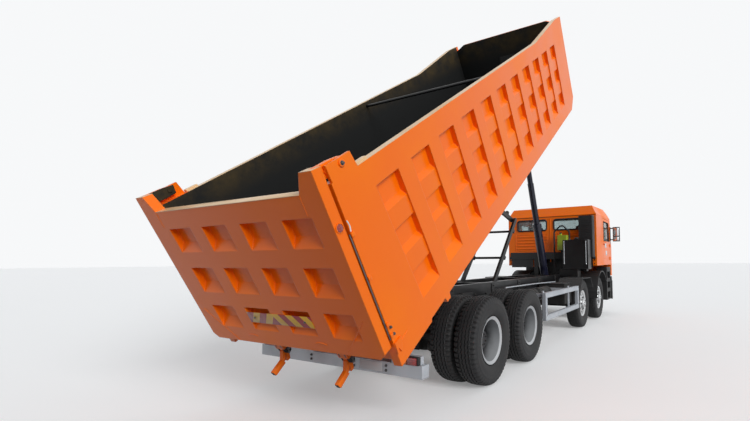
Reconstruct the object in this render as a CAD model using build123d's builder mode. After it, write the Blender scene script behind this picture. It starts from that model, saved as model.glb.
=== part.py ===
from build123d import *
import math
import os

os.makedirs("parts", exist_ok=True)

# The row frame: X forward, Y to the truck's left, Z up, the origin on the ground.
# Stations are measured forward from the rearmost axle.
MIDDLE_STATION = 2776

# Fits and gaps
PIN_GAP = 0.05
PANEL_GAP = 6
SIDE_PLAY = 2

# Wheels
WHEEL_RADIUS = 562
TYRE_WIDTH = 300
TYRE_SIDES = 24
TWIN_SPACING = 340
TWIN_Y = 930
FRONT_WHEEL_Y = 1010
RIM_RADIUS = 285
REAR_AXLES = (0, 1400)
FRONT_AXLES = (5175, 6975)
KINGPIN_Y = 880
KINGPIN_RADIUS = 25
SPINDLE_RADIUS = 40
REAR_SPINDLE_RADIUS = 60
SPRING_Y = 485

# Frame
RAIL_TOP = 1090
RAIL_HEIGHT = 300
RAIL_OUTER_Y = 430
RAIL_FLANGE = 80
RAIL_SHEET = 10
RAIL_REAR = -1000
RAIL_FRONT = 8296
SUBFRAME_HEIGHT = 120
SUBFRAME_FRONT = 5800

# Tipping bed, in its own frame: s forward and h up from the hinge axis
TIP_ANGLE = 34.8
HINGE_STATION = -1100
HINGE_Z = 1110
HINGE_RADIUS = 40
BED_REAR_S = -890
BED_LENGTH = 7585
BED_HALF_WIDTH = 1250
BED_BOTTOM_H = 112
REAR_BOTTOM_H = 85
BED_TOP_H = 1788
BED_FRONT_TOP_H = 1955
SIDE_SHEET = 90
FLOOR_H = 370
FLOOR_SHEET = 20
FRONT_SHEET = 80
TIE_BAR_S = 2850
WELL_HALF_WIDTH = 172
WELL_SHEET = 20
WELL_DEPTH = 470
STRIP_DEPTH = 18
POCKET_DEPTH = 62
POCKET_LENGTH = 355
POCKET_PITCH = 586
POCKET_FIRST_S = 560
SIDE_POCKET_COUNT = 11

# Tailgate, in the bed's frame leaned back by its rake: its outer face and its heights along that face
GATE_RAKE = 5.4
GATE_FACE = -1049
TAILGATE_SHEET = 100
TAILGATE_BOTTOM = 165
TAILGATE_TOP = 1685
TAILGATE_EAR = 1850
PIVOT_FORWARD = 284
PIVOT_UP = 1813
PIVOT_RADIUS = 20
ARM_Y = 1187

# Hoist
HOIST_STATION = 5950
HOIST_BASE_Z = 850
HOIST_TOP_S = 6895
HOIST_TOP_H = 1800
BARREL_LENGTH = 1800
BARREL_RADIUS = 104
STAGE_RADII = (76, 65, 54, 43)
STAGE_GAP = 0.1
STAGE_COUNT = 4
HOIST_PIN_RADIUS = 30

# Stabiliser scissors
SCISSOR_REACH = 3000
SCISSOR_ARM = 1700
LOWER_ARM_Y = 325
UPPER_ARM_Y = 255
ARM_WIDTH = 44
SCISSOR_PIN_RADIUS = 25

# Cab
CAB_REAR = 6350
CAB_FRONT = 8440
CAB_HALF_WIDTH = 1240
CAB_WALL = 50
CAB_BOTTOM = 1430
CAB_FLOOR_Z = 1480
CAB_TILT_STATION = 8330
CAB_TILT_Z = 960
DOOR_REAR = 7200
DOOR_FRONT = 8180
DOOR_HINGE_Y = 1252
DOOR_HINGE_STATION = 8178
DOOR_PIN_RADIUS = 6
DOOR_HINGE_HEIGHTS = (1620, 2000)
CAB_LUG_Y = 390
CAB_PIN_RADIUS = 20


def at_station(station):
    return station - MIDDLE_STATION


HINGE_X = at_station(HINGE_STATION)
TIP_COS = math.cos(math.radians(TIP_ANGLE))
TIP_SIN = math.sin(math.radians(TIP_ANGLE))


def tipped(s, y, h):
    x = HINGE_X + s * TIP_COS - h * TIP_SIN
    z = HINGE_Z + s * TIP_SIN + h * TIP_COS
    return (x, y, z)


def tipped_place(s, y, h):
    return Location(tipped(s, y, h), (0, -TIP_ANGLE, 0))


GATE_COS = math.cos(math.radians(GATE_RAKE))
GATE_SIN = math.sin(math.radians(GATE_RAKE))


def gate(inward, up):
    """A point of the tailgate's leaned frame, as s and h of the bed."""
    along = GATE_FACE + inward
    return (along * GATE_COS + up * GATE_SIN, -along * GATE_SIN + up * GATE_COS)


def gate_s(inward, h):
    """The s of the leaned plane that lies inward of the tailgate's outer face, at one h of the bed."""
    return (GATE_FACE + inward + h * GATE_SIN) / GATE_COS


PIVOT_S = gate(PIVOT_FORWARD, PIVOT_UP)[0]
PIVOT_H = gate(PIVOT_FORWARD, PIVOT_UP)[1]


def bed_plane(y):
    return Plane(origin=(HINGE_X, y, HINGE_Z), x_dir=(TIP_COS, 0, TIP_SIN), z_dir=(0, -1, 0))


def bed_cross_plane(s):
    return Plane(origin=tipped(s, 0, 0), x_dir=(0, 1, 0), z_dir=(TIP_COS, 0, TIP_SIN))


def side_plane(y):
    return Plane(origin=(0, y, 0), x_dir=(1, 0, 0), z_dir=(0, -1, 0))


def cross_plane(x):
    return Plane(origin=(x, 0, 0), x_dir=(0, 1, 0), z_dir=(1, 0, 0))


def stations(points):
    return [(at_station(station), z) for station, z in points]


# Chassis

rail_bottom = RAIL_TOP - RAIL_HEIGHT
rail_inner_y = RAIL_OUTER_Y - RAIL_FLANGE
rail_length = RAIL_FRONT - RAIL_REAR
with BuildPart() as frame_rails:
    for side in (1, -1):
        with BuildSketch(cross_plane(at_station(RAIL_REAR))):
            with Locations((side * (RAIL_OUTER_Y + rail_inner_y) / 2, rail_bottom + RAIL_HEIGHT / 2)):
                Rectangle(RAIL_FLANGE, RAIL_HEIGHT)
            with Locations((side * (RAIL_OUTER_Y + rail_inner_y - 2 * RAIL_SHEET) / 2,
                            rail_bottom + RAIL_HEIGHT / 2)):
                Rectangle(RAIL_FLANGE, RAIL_HEIGHT - 2 * RAIL_SHEET, mode=Mode.SUBTRACT)
        extrude(amount=rail_length)
    # station, length, height, middle z
    cross_members = (
        (-690, 90, 240, 940),
        (700, 160, 200, 930),
        (2500, 90, 180, 940),
        (4000, 90, 180, 940),
        (5600, 70, 180, 920),
        (8230, 90, 220, 940),
    )
    for station, length, height, middle_z in cross_members:
        with Locations((at_station(station), 0, middle_z)):
            Box(length, 2 * (RAIL_OUTER_Y - RAIL_SHEET / 2), height)
    # the cradle that carries the hoist's base pin
    for side in (1, -1):
        with Locations((at_station(HOIST_STATION), side * 265, HOIST_BASE_Z)):
            Box(220, 320, 160)
    with Locations(Location((at_station(HOIST_STATION), 0, HOIST_BASE_Z), (90, 0, 0))):
        Cylinder(HOIST_PIN_RADIUS, 260)
    # the ears and pins that the cab tilts on
    for side in (1, -1):
        for y in (CAB_LUG_Y - 51, CAB_LUG_Y + 46):
            with Locations((at_station(8280), side * y, CAB_TILT_Z - 5)):
                Box(150, 12, 90)
        tilt_place = (at_station(CAB_TILT_STATION), side * (CAB_LUG_Y - 2.5), CAB_TILT_Z)
        with Locations(Location(tilt_place, (90, 0, 0))):
            Cylinder(CAB_PIN_RADIUS, 104)
frame_rails.part.label = "frame_rails"
export_step(frame_rails.part, "parts/frame_rails.step")

subframe_top = RAIL_TOP + SUBFRAME_HEIGHT
subframe_rear = HINGE_STATION + 190
subframe_length = SUBFRAME_FRONT - subframe_rear
with BuildPart() as tipper_subframe:
    for side in (1, -1):
        with Locations((at_station(subframe_rear + subframe_length / 2), side * (RAIL_OUTER_Y - 40),
                        RAIL_TOP + SUBFRAME_HEIGHT / 2)):
            Box(subframe_length, 80, SUBFRAME_HEIGHT)
        with BuildSketch(side_plane(side * 324 + 26)):
            with BuildLine():
                Polyline(stations(((HINGE_STATION - 75, 1050), (HINGE_STATION - 50, 1190),
                                   (HINGE_STATION + 40, 1210), (HINGE_STATION + 350, 1210),
                                   (HINGE_STATION + 350, 860), (HINGE_STATION - 150, 860))), close=True)
            make_face()
        extrude(amount=52)
    foot_station = HINGE_STATION + SCISSOR_REACH
    for station in (-800, 300, foot_station - 330, 3800, 4700, 5400):
        with Locations((at_station(station), 0, RAIL_TOP + SUBFRAME_HEIGHT / 2)):
            Box(80, 2 * (RAIL_OUTER_Y - 40), SUBFRAME_HEIGHT - 20)
    with Locations(Location((HINGE_X, 0, HINGE_Z), (90, 0, 0))):
        Cylinder(HINGE_RADIUS, 880)
    # the brackets of the lower stabiliser frame
    for side in (1, -1):
        with Locations((at_station(foot_station - 170), side * 290, HINGE_Z + 20)):
            Box(480, 20, 120)
        with Locations(Location((at_station(foot_station), side * 320, HINGE_Z), (90, 0, 0))):
            Cylinder(SCISSOR_PIN_RADIUS, 60)
tipper_subframe.part.label = "tipper_subframe"
export_step(tipper_subframe.part, "parts/tipper_subframe.step")

with BuildPart() as engine_block:
    with Locations((at_station(7330), 0, 1180)):
        Box(1300, 700, 880)
    with Locations((at_station(6460), 0, 875)):
        Box(460, 480, 470)
    with Locations((at_station(8100), 0, 1230)):
        Box(120, 680, 760)
    with Locations((at_station(8010), 0, 1230)):
        Box(80, 300, 300)
engine_block.part.label = "engine_block"
export_step(engine_block.part, "parts/engine_block.step")


def shaft_between(start, end, radius):
    start = Vector(start)
    end = Vector(end)
    plane = Plane(origin=start, z_dir=end - start)
    length = (end - start).length
    foot = (Align.CENTER, Align.CENTER, Align.MIN)
    return plane.location * Cylinder(radius, length, align=foot, mode=Mode.PRIVATE)


with BuildPart() as drive_axles:
    for station in REAR_AXLES:
        with Locations(Location((at_station(station), 0, WHEEL_RADIUS), (90, 0, 0))):
            Cylinder(80, 1440)
            Cylinder(REAR_SPINDLE_RADIUS, 2080)
        with Locations((at_station(station), 0, WHEEL_RADIUS)):
            Box(380, 300, 250)
            Box(260, 330, 400)
    add(shaft_between((at_station(190), 0, 640), (at_station(1210), 0, 600), 50))
    add(shaft_between((at_station(1590), 0, 620), (at_station(6222), 0, 700), 50))
    # the tandem's leaf packs and their trunnion
    for side in (1, -1):
        for length, middle_z in ((1500, 660), (1180, 694), (840, 728), (480, 762)):
            with Locations((at_station(700), side * SPRING_Y, middle_z)):
                Box(length, 90, 35)
        with Locations((at_station(700), side * 460, 850)):
            Box(320, 60, 480)
    with Locations(Location((at_station(700), 0, 620), (90, 0, 0))):
        Cylinder(60, 1060)
drive_axles.part.label = "drive_axles"
export_step(drive_axles.part, "parts/drive_axles.step")

with BuildPart() as front_suspension:
    for station in FRONT_AXLES:
        with Locations((at_station(station), 0, 515)):
            Box(110, 1580, 80)
        for side in (1, -1):
            with Locations((at_station(station), side * KINGPIN_Y, 560)):
                Cylinder(52, 120)
            with Locations((at_station(station), side * 820, 532)):
                Box(80, 120, 56)
            for length, middle_z in ((480, 570), (900, 600), (1300, 630)):
                with Locations((at_station(station), side * 390, middle_z)):
                    Box(length, 80, 32)
            for end in (-1, 1):
                with Locations((at_station(station + end * 620), side * 390, 715)):
                    Box(50, 70, 150)
            with Locations((at_station(station), side * KINGPIN_Y, 560)):
                Cylinder(KINGPIN_RADIUS + PIN_GAP, 200, mode=Mode.SUBTRACT)
front_suspension.part.label = "front_suspension"
export_step(front_suspension.part, "parts/front_suspension.step")

with BuildPart() as front_bumper:
    with BuildSketch(side_plane(1245)):
        with BuildLine():
            Polyline(stations(((8330, 430), (8450, 400), (8475, 440), (8475, 940), (8455, 960), (8392, 960),
                               (8392, 1085), (8296, 1085), (8296, 960), (8330, 940))), close=True)
        make_face()
    extrude(amount=2490)
    with BuildSketch(side_plane(1225)):
        Polygon(*stations(((8310, 450), (8440, 424), (8455, 450), (8455, 930), (8310, 930))), align=None)
    extrude(amount=2450, mode=Mode.SUBTRACT)
    for side in (1, -1):
        with Locations((at_station(8340), side * CAB_LUG_Y, 1000)):
            Box(300, 120, 200, mode=Mode.SUBTRACT)
        with Locations((at_station(8378), side * 395, 860)):
            Box(164, 70, 80)
        with Locations((at_station(8475), side * 980, 720)):
            Box(16, 330, 190, mode=Mode.SUBTRACT)
    with Locations((at_station(8475), 0, 560)):
        Box(16, 1100, 150, mode=Mode.SUBTRACT)
front_bumper.part.label = "front_bumper"
export_step(front_bumper.part, "parts/front_bumper.step")


def arch_points(station, inner_radius, start, end, sheet):
    """The outline of a bent mudguard sheet above a wheel, from one angle to another."""
    steps = 10
    outer = []
    inner = []
    for step in range(steps + 1):
        turn = math.radians(start + (end - start) * step / steps)
        across = (math.cos(turn), math.sin(turn))
        outer.append((at_station(station) + (inner_radius + sheet) * across[0],
                      WHEEL_RADIUS + (inner_radius + sheet) * across[1]))
        inner_x = at_station(station) + inner_radius * across[0]
        inner.append((inner_x, WHEEL_RADIUS + inner_radius * across[1]))
    return outer + inner[::-1]


flat_guard = ((-645, 895), (-385, 1145), (385, 1145), (645, 895),
              (660, 900), (390, 1160), (-390, 1160), (-660, 900))
with BuildPart() as front_mudguards:
    for side in (1, -1):
        low_y = min(side * 700, side * 1240)
        high_y = max(side * 700, side * 1240)
        for outline in (arch_points(FRONT_AXLES[1], 700, 35, 178, 25),
                        [(at_station(FRONT_AXLES[0] + along), z) for along, z in flat_guard]):
            with BuildSketch(side_plane(high_y)):
                with BuildLine():
                    Polyline(outline, close=True)
                make_face()
            extrude(amount=high_y - low_y)
        # station, middle z
        for station, middle_z in ((6275, 700), (7560, 970), (FRONT_AXLES[0] - 630, 915),
                                  (FRONT_AXLES[0] + 630, 915)):
            with Locations((at_station(station), side * 602.5, middle_z)):
                Box(50, 345, 50)
        with Locations((at_station(7960), side * 1085, 900)):
            Box(560, 290, 940)
        for middle_z in (560, 850, 1140):
            with Locations((at_station(7960), side * 1200, middle_z)):
                Box(420, 140, 190, mode=Mode.SUBTRACT)
        with Locations((at_station(8120), side * 700, 1000)):
            Box(80, 540, 80)
front_mudguards.part.label = "front_mudguards"
export_step(front_mudguards.part, "parts/front_mudguards.step")

GUARD_REAR = 2160
GUARD_FRONT = 4440
GUARD_LOW = 530
GUARD_HIGH = 1010
guard_length = GUARD_FRONT - GUARD_REAR
guard_middle = at_station((GUARD_REAR + GUARD_FRONT) / 2)
guard_middle_z = (GUARD_LOW + GUARD_HIGH) / 2
guard_height = GUARD_HIGH - GUARD_LOW
with BuildPart() as side_guards:
    for side in (1, -1):
        with Locations((guard_middle, side * 1190, guard_middle_z)):
            Box(guard_length, 60, guard_height)
            Box(guard_length - 180, 60, guard_height - 180, mode=Mode.SUBTRACT)
        for station in (2230, 3860):
            with Locations((at_station(station), side * 1150, guard_middle_z + 40)):
                Box(60, 24, guard_height - 20)
            with Locations((at_station(station), side * 796.5, 960)):
                Box(60, 733, 60)
side_guards.part.label = "side_guards"
export_step(side_guards.part, "parts/side_guards.step")

BUMPER_REAR = -1535
with BuildPart() as rear_bumper:
    with Locations((at_station(BUMPER_REAR + 60), 0, 501)):
        Box(120, 2400, 125)
    for side in (1, -1):
        with BuildSketch(side_plane(side * 325 + 15)):
            Polygon(*stations(((-1515, 550), (-1425, 550), (-1070, 860), (-1230, 860))), align=None)
        extrude(amount=30)
        with Locations((at_station(BUMPER_REAR + 60), side * 985, 590)):
            Box(90, 330, 100)
rear_bumper.part.label = "rear_bumper"
export_step(rear_bumper.part, "parts/rear_bumper.step")

with BuildPart() as fuel_tank:
    with Locations((at_station(3125), 800, 820)):
        Box(1250, 560, 540)
    fillet(fuel_tank.edges().filter_by(Axis.X), 90)
    for station in (2700, 3550):
        with Locations((at_station(station), 480, 940)):
            Box(70, 100, 200)
fuel_tank.part.label = "fuel_tank"
export_step(fuel_tank.part, "parts/fuel_tank.step")

with BuildPart() as air_tanks:
    for station, y, radius, length in ((2350, -700, 130, 620), (3150, -700, 130, 620)):
        with Locations(Location((at_station(station + length / 2), y, 900), (0, 90, 0))):
            Cylinder(radius, length)
    for station in (2600, 3500):
        with Locations((at_station(station), -525, 950)):
            Box(60, 190, 60)
    with Locations((at_station(4230), -760, 850)):
        Box(520, 560, 420)
    with Locations((at_station(4230), -465, 950)):
        Box(200, 70, 120)
    with Locations(Location((at_station(5000), 560, 920), (0, 90, 0))):
        Cylinder(120, 500)
    with Locations((at_station(5000), 455, 950)):
        Box(200, 50, 100)
air_tanks.part.label = "air_tanks"
export_step(air_tanks.part, "parts/air_tanks.step")

with BuildPart() as hydraulic_tank:
    with Locations((at_station(5870), -840, 1720)):
        Box(330, 640, 740)
    for y in (-560, -1110):
        with Locations((at_station(5698), y, 1760)):
            Cylinder(9, 560)
        for z in (1560, 1960):
            with Locations((at_station(5702), y, z)):
                Box(16, 26, 22)
    with Locations((at_station(5870), -660, 1207)):
        Box(300, 460, 296)
    with Locations((at_station(5870), -840, 2105)):
        Box(120, 120, 34)
hydraulic_tank.part.label = "hydraulic_tank"
export_step(hydraulic_tank.part, "parts/hydraulic_tank.step")

with BuildPart() as expansion_tank:
    with Locations((at_station(6180), -395, 2045)):
        Box(150, 270, 400)
    fillet(expansion_tank.edges().filter_by(Axis.Z), 22)
    with Locations((at_station(6180), -340, 2262)):
        Cylinder(32, 50)
expansion_tank.part.label = "expansion_tank"
export_step(expansion_tank.part, "parts/expansion_tank.step")

HOSE_RADIUS = 20
with BuildPart() as coolant_hose:
    with BuildLine(cross_plane(at_station(6005))) as hose_line:
        hose_path = FilletPolyline((-215, 930.3), (-215, 2330), (-420, 2520), (-620, 2320), (-620, 2090.3),
                                   radius=95)
    with BuildSketch(Plane(origin=hose_path @ 0, z_dir=hose_path % 0)):
        Circle(HOSE_RADIUS)
    sweep(path=hose_path)
coolant_hose.part.label = "coolant_hose"
export_step(coolant_hose.part, "parts/coolant_hose.step")

with BuildPart() as air_intake:
    with Locations((at_station(6180), -1025, 2190)):
        Box(220, 370, 1080)
    fillet(air_intake.edges().filter_by(Axis.Z), 30)
    with Locations((at_station(6188), -900, 1480)):
        Box(216, 260, 380)
air_intake.part.label = "air_intake"
export_step(air_intake.part, "parts/air_intake.step")

with BuildPart() as cab_rear_arch:
    with Locations((at_station(6318), 0, 1700)):
        Box(44, 2320, 190)
    for side in (1, -1):
        with Locations((at_station(6318), side * 400, 1355)):
            Box(44, 120, 530)
        with Locations((at_station(6330), side * 820, 1530)):
            Box(12, 640, 300)
    with Locations((at_station(6203), -395, 1839)):
        Box(186, 180, 12)
    with Locations((at_station(6290), -395, 1815)):
        Box(12, 180, 60)
cab_rear_arch.part.label = "cab_rear_arch"
export_step(cab_rear_arch.part, "parts/cab_rear_arch.step")

# Tipping bed

BED_FRONT_S = BED_REAR_S + BED_LENGTH
# top of the recess, start of its sloped lower wall, and bottom, above the bed's lower edge
pocket_rows = ((1448, 1243, 1193), (1000, 801, 745), (540, 351, 256))


def pocket_column_sketch(outer_y, side):
    """The hollow of one column: deep recesses with shallower strips between them."""
    strip_y = outer_y - side * STRIP_DEPTH
    inner_y = outer_y - side * POCKET_DEPTH
    lip_y = outer_y + side * 10
    outline = [(lip_y, BED_BOTTOM_H + pocket_rows[0][0])]
    for top, slope, bottom in pocket_rows:
        outline += [(strip_y, BED_BOTTOM_H + top), (inner_y, BED_BOTTOM_H + top),
                    (inner_y, BED_BOTTOM_H + slope), (strip_y, BED_BOTTOM_H + bottom)]
    outline[-1] = (outer_y, BED_BOTTOM_H + pocket_rows[-1][2])
    outline.append((lip_y, BED_BOTTOM_H + pocket_rows[-1][2]))
    Polygon(*outline, align=None)


def bed_side(side, name):
    outer_y = side * BED_HALF_WIDTH
    with BuildPart() as panel:
        with BuildSketch(bed_plane(outer_y)):
            Polygon((gate_s(TAILGATE_SHEET + 22, REAR_BOTTOM_H), REAR_BOTTOM_H),
                    (BED_REAR_S + 545, REAR_BOTTOM_H),
                    (BED_REAR_S + 560, BED_BOTTOM_H), (BED_REAR_S + 870, BED_BOTTOM_H),
                    (BED_REAR_S + 885, BED_BOTTOM_H - 60), (BED_REAR_S + 960, BED_BOTTOM_H - 60),
                    (BED_REAR_S + 975, BED_BOTTOM_H), (BED_FRONT_S - 290, BED_BOTTOM_H),
                    (BED_FRONT_S, BED_BOTTOM_H + 200), (BED_FRONT_S, BED_FRONT_TOP_H),
                    (BED_FRONT_S - 420, BED_FRONT_TOP_H), (BED_FRONT_S - 1950, BED_TOP_H),
                    (gate_s(TAILGATE_SHEET + 22, BED_TOP_H), BED_TOP_H), align=None)
        extrude(amount=side * SIDE_SHEET)
        for column in range(SIDE_POCKET_COUNT):
            with BuildSketch(bed_cross_plane(BED_REAR_S + POCKET_FIRST_S + column * POCKET_PITCH)):
                pocket_column_sketch(outer_y, side)
            extrude(amount=POCKET_LENGTH, mode=Mode.SUBTRACT)
        # the plate that carries the tailgate's pivot
        with BuildSketch(bed_plane(side * BED_HALF_WIDTH)):
            Polygon((PIVOT_S - 155, PIVOT_H + 44), (PIVOT_S + 135, PIVOT_H + 44),
                    (PIVOT_S + 160, BED_TOP_H - 70), (PIVOT_S - 160, BED_TOP_H - 70), align=None)
        extrude(amount=side * 30)
        with Locations(Location(tipped(PIVOT_S, side * (BED_HALF_WIDTH - 48), PIVOT_H), (90, 0, 0))):
            Cylinder(PIVOT_RADIUS, 96)
    panel.part.label = name
    export_step(panel.part, "parts/" + name + ".step")


bed_side(1, "bed_side_left")
bed_side(-1, "bed_side_right")

floor_inner_y = BED_HALF_WIDTH - SIDE_SHEET
with BuildPart() as bed_floor:
    floor_length = BED_LENGTH - FRONT_SHEET
    floor_middle_s = BED_REAR_S + floor_length / 2
    with Locations(tipped_place(floor_middle_s, 0, FLOOR_H - FLOOR_SHEET / 2)):
        Box(floor_length, 2 * floor_inner_y, FLOOR_SHEET)
    for side in (1, -1):
        with Locations(tipped_place(floor_middle_s, side * 390, (FLOOR_H - FLOOR_SHEET + 120) / 2)):
            Box(floor_length, 90, FLOOR_H - FLOOR_SHEET - 120)
        with BuildSketch(bed_plane(side * 393 + 32)):
            Polygon((-190, 170), (-75, -20), (-40, -70), (40, -70), (75, -20), (190, 170), align=None)
        extrude(amount=64)
        with Locations(Location(tipped(0, side * 393, 0), (90, 0, 0))):
            Cylinder(HINGE_RADIUS + PIN_GAP, 70, mode=Mode.SUBTRACT)
    member_pitch = (BED_LENGTH - 205) / 13
    for index in range(14):
        with Locations(tipped_place(BED_REAR_S + 90 + index * member_pitch, 0, FLOOR_H - FLOOR_SHEET - 45)):
            Box(70, 2 * floor_inner_y, 90)
    with Locations(tipped_place(BED_REAR_S + 40, 0, (FLOOR_H + 120) / 2)):
        Box(80, 2 * floor_inner_y, FLOOR_H - 120)
    # the well that the hoist passes through
    with Locations(tipped_place(BED_FRONT_S - WELL_DEPTH / 2, 0, FLOOR_H - 90)):
        Box(WELL_DEPTH, 2 * WELL_HALF_WIDTH, 400, mode=Mode.SUBTRACT)
    # the upper stabiliser frame's member and brackets
    with Locations(tipped_place(SCISSOR_REACH, 0, FLOOR_H - FLOOR_SHEET - 45)):
        Box(160, 2 * floor_inner_y, 90)
    for side in (1, -1):
        with Locations(tipped_place(SCISSOR_REACH, side * (UPPER_ARM_Y - 35), (FLOOR_H - 80) / 2)):
            Box(150, 20, FLOOR_H - 20)
        with Locations(Location(tipped(SCISSOR_REACH, side * (UPPER_ARM_Y - 10), 0), (90, 0, 0))):
            Cylinder(SCISSOR_PIN_RADIUS, 66)
bed_floor.part.label = "bed_floor"
export_step(bed_floor.part, "parts/bed_floor.step")

with BuildPart() as bed_front_wall:
    with BuildSketch(bed_cross_plane(BED_FRONT_S - FRONT_SHEET)):
        Polygon((-floor_inner_y, 130), (floor_inner_y, 130), (floor_inner_y, BED_FRONT_TOP_H - 90),
                (floor_inner_y - 200, BED_FRONT_TOP_H), (-floor_inner_y + 200, BED_FRONT_TOP_H),
                (-floor_inner_y, BED_FRONT_TOP_H - 90), align=None)
    extrude(amount=FRONT_SHEET)
    # the well's cheeks and sloped back, open to the front
    well = ((BED_FRONT_S - WELL_DEPTH + 20, 200), (BED_FRONT_S, 200), (BED_FRONT_S, 1500),
            (BED_FRONT_S - 100, 1500))
    with BuildSketch(bed_plane(WELL_HALF_WIDTH)):
        Polygon(*well, align=None)
    extrude(amount=2 * WELL_HALF_WIDTH)
    with BuildSketch(bed_plane(WELL_HALF_WIDTH - WELL_SHEET)):
        Polygon((BED_FRONT_S - WELL_DEPTH + 40, 100), (BED_FRONT_S + 10, 100), (BED_FRONT_S + 10, 1480),
                (BED_FRONT_S - 82, 1480), (BED_FRONT_S - WELL_DEPTH + 40, 220), align=None)
    extrude(amount=2 * (WELL_HALF_WIDTH - WELL_SHEET), mode=Mode.SUBTRACT)
    for y in (-760, -330, 330, 760):
        with Locations(tipped_place(BED_FRONT_S, y, 1000)):
            Box(50, 90, 1600)
    for side in (1, -1):
        with BuildSketch(bed_plane(side * 75 + 12)):
            Polygon((BED_FRONT_S - 10, HOIST_TOP_H - 150), (BED_FRONT_S - 10, HOIST_TOP_H + 90),
                    (HOIST_TOP_S + 40, HOIST_TOP_H + 60), (HOIST_TOP_S + 65, HOIST_TOP_H - 20),
                    (HOIST_TOP_S + 20, HOIST_TOP_H - 70), align=None)
        extrude(amount=24)
bed_front_wall.part.label = "bed_front_wall"
export_step(bed_front_wall.part, "parts/bed_front_wall.step")

with BuildPart() as tie_bar:
    with Locations(Location(tipped(TIE_BAR_S, 0, BED_TOP_H - 70), (90, 0, 0))):
        Cylinder(22, 2 * floor_inner_y)
tie_bar.part.label = "tie_bar"
export_step(tie_bar.part, "parts/tie_bar.step")

HOOK_Y = 475
with BuildPart() as tailgate_hooks:
    for side in (1, -1):
        with Locations(tipped_place(BED_REAR_S + 65, side * HOOK_Y, 70)):
            Box(110, 130, 100)
        with BuildSketch(bed_plane(side * HOOK_Y + 25)):
            Polygon((BED_REAR_S + 15, 40), (BED_REAR_S + 100, 40), (BED_REAR_S + 70, -60),
                    (BED_REAR_S + 40, -140), (BED_REAR_S, -140), (BED_REAR_S + 20, -50), align=None)
        extrude(amount=50)
tailgate_hooks.part.label = "tailgate_hooks"
export_step(tailgate_hooks.part, "parts/tailgate_hooks.step")

# Tailgate

# left edge and right edge of each recess, from the left side of the tailgate
tailgate_columns = ((305, 665), (853, 1215), (1418, 1765), (1958, 2300))
tailgate_rows = ((1335, 1166, 1078), (901, 711, 611), (450, 283, 180))
gate_slope = math.radians(TIP_ANGLE - GATE_RAKE)
gate_normal = (math.cos(gate_slope), 0, math.sin(gate_slope))
gate_foot = tipped(gate(0, 0)[0], 0, gate(0, 0)[1])
gate_cross_plane = Plane(origin=gate_foot, x_dir=(0, 1, 0), z_dir=gate_normal)
with BuildPart() as tailgate_panel:
    with BuildSketch(gate_cross_plane):
        Polygon((-1235, TAILGATE_BOTTOM + 60), (-1170, TAILGATE_BOTTOM), (1170, TAILGATE_BOTTOM),
                (1235, TAILGATE_BOTTOM + 60), (1235, TAILGATE_EAR), (1105, TAILGATE_EAR),
                (1020, TAILGATE_TOP), (-1020, TAILGATE_TOP), (-1105, TAILGATE_EAR),
                (-1235, TAILGATE_EAR), align=None)
    extrude(amount=TAILGATE_SHEET)
    for left, right in tailgate_columns:
        with BuildSketch(bed_plane(BED_HALF_WIDTH - left)):
            for top, slope, bottom in tailgate_rows:
                Polygon(gate(-10, TAILGATE_BOTTOM + top), gate(-10, TAILGATE_BOTTOM + bottom),
                        gate(0, TAILGATE_BOTTOM + bottom), gate(POCKET_DEPTH, TAILGATE_BOTTOM + slope),
                        gate(POCKET_DEPTH, TAILGATE_BOTTOM + top), align=None)
        extrude(amount=right - left, mode=Mode.SUBTRACT)
    for side in (1, -1):
        with BuildSketch(bed_plane(side * ARM_Y + 25)):
            Polygon(gate(0, TAILGATE_EAR), gate(0, PIVOT_UP - 75), gate(PIVOT_FORWARD - 40, PIVOT_UP - 55),
                    gate(PIVOT_FORWARD + 50, PIVOT_UP - 40), gate(PIVOT_FORWARD + 60, PIVOT_UP + 46),
                    gate(PIVOT_FORWARD - 60, PIVOT_UP + 50), align=None)
        extrude(amount=50)
        with Locations(Location(tipped(PIVOT_S, side * ARM_Y, PIVOT_H), (90, 0, 0))):
            Cylinder(PIVOT_RADIUS + PIN_GAP, 60, mode=Mode.SUBTRACT)
tailgate_panel.part.label = "tailgate_panel"
export_step(tailgate_panel.part, "parts/tailgate_panel.step")

# Hoist

hoist_base = Vector(at_station(HOIST_STATION), 0, HOIST_BASE_Z)
hoist_top = Vector(*tipped(HOIST_TOP_S, 0, HOIST_TOP_H))
hoist_plane = Plane(origin=hoist_base, x_dir=(0, 1, 0), z_dir=hoist_top - hoist_base)
hoist_length = (hoist_top - hoist_base).length
closed_length = math.hypot(HINGE_STATION + HOIST_TOP_S - HOIST_STATION, HINGE_Z + HOIST_TOP_H - HOIST_BASE_Z)
stage_step = (hoist_length - closed_length) / STAGE_COUNT


with BuildPart() as hoist_barrel:
    # low end, high end, outer radius, inner radius
    barrel_tubes = (
        (70, 100, BARREL_RADIUS, 0),
        (95, BARREL_LENGTH - 90, BARREL_RADIUS, STAGE_RADII[0] + STAGE_GAP),
        (BARREL_LENGTH - 90, BARREL_LENGTH, BARREL_RADIUS + 12, STAGE_RADII[0] + STAGE_GAP),
        (0, 80, 66, 0),
    )
    for low, high, outer_radius, inner_radius in barrel_tubes:
        with BuildSketch(hoist_plane.offset(low)):
            Circle(outer_radius)
            if inner_radius:
                Circle(inner_radius, mode=Mode.SUBTRACT)
        extrude(amount=high - low)
    with Locations(Location(hoist_base, (90, 0, 0))):
        Cylinder(68, 190)
        Cylinder(HOIST_PIN_RADIUS + PIN_GAP, 400, mode=Mode.SUBTRACT)
hoist_barrel.part.label = "hoist_barrel"
export_step(hoist_barrel.part, "parts/hoist_barrel.step")

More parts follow.
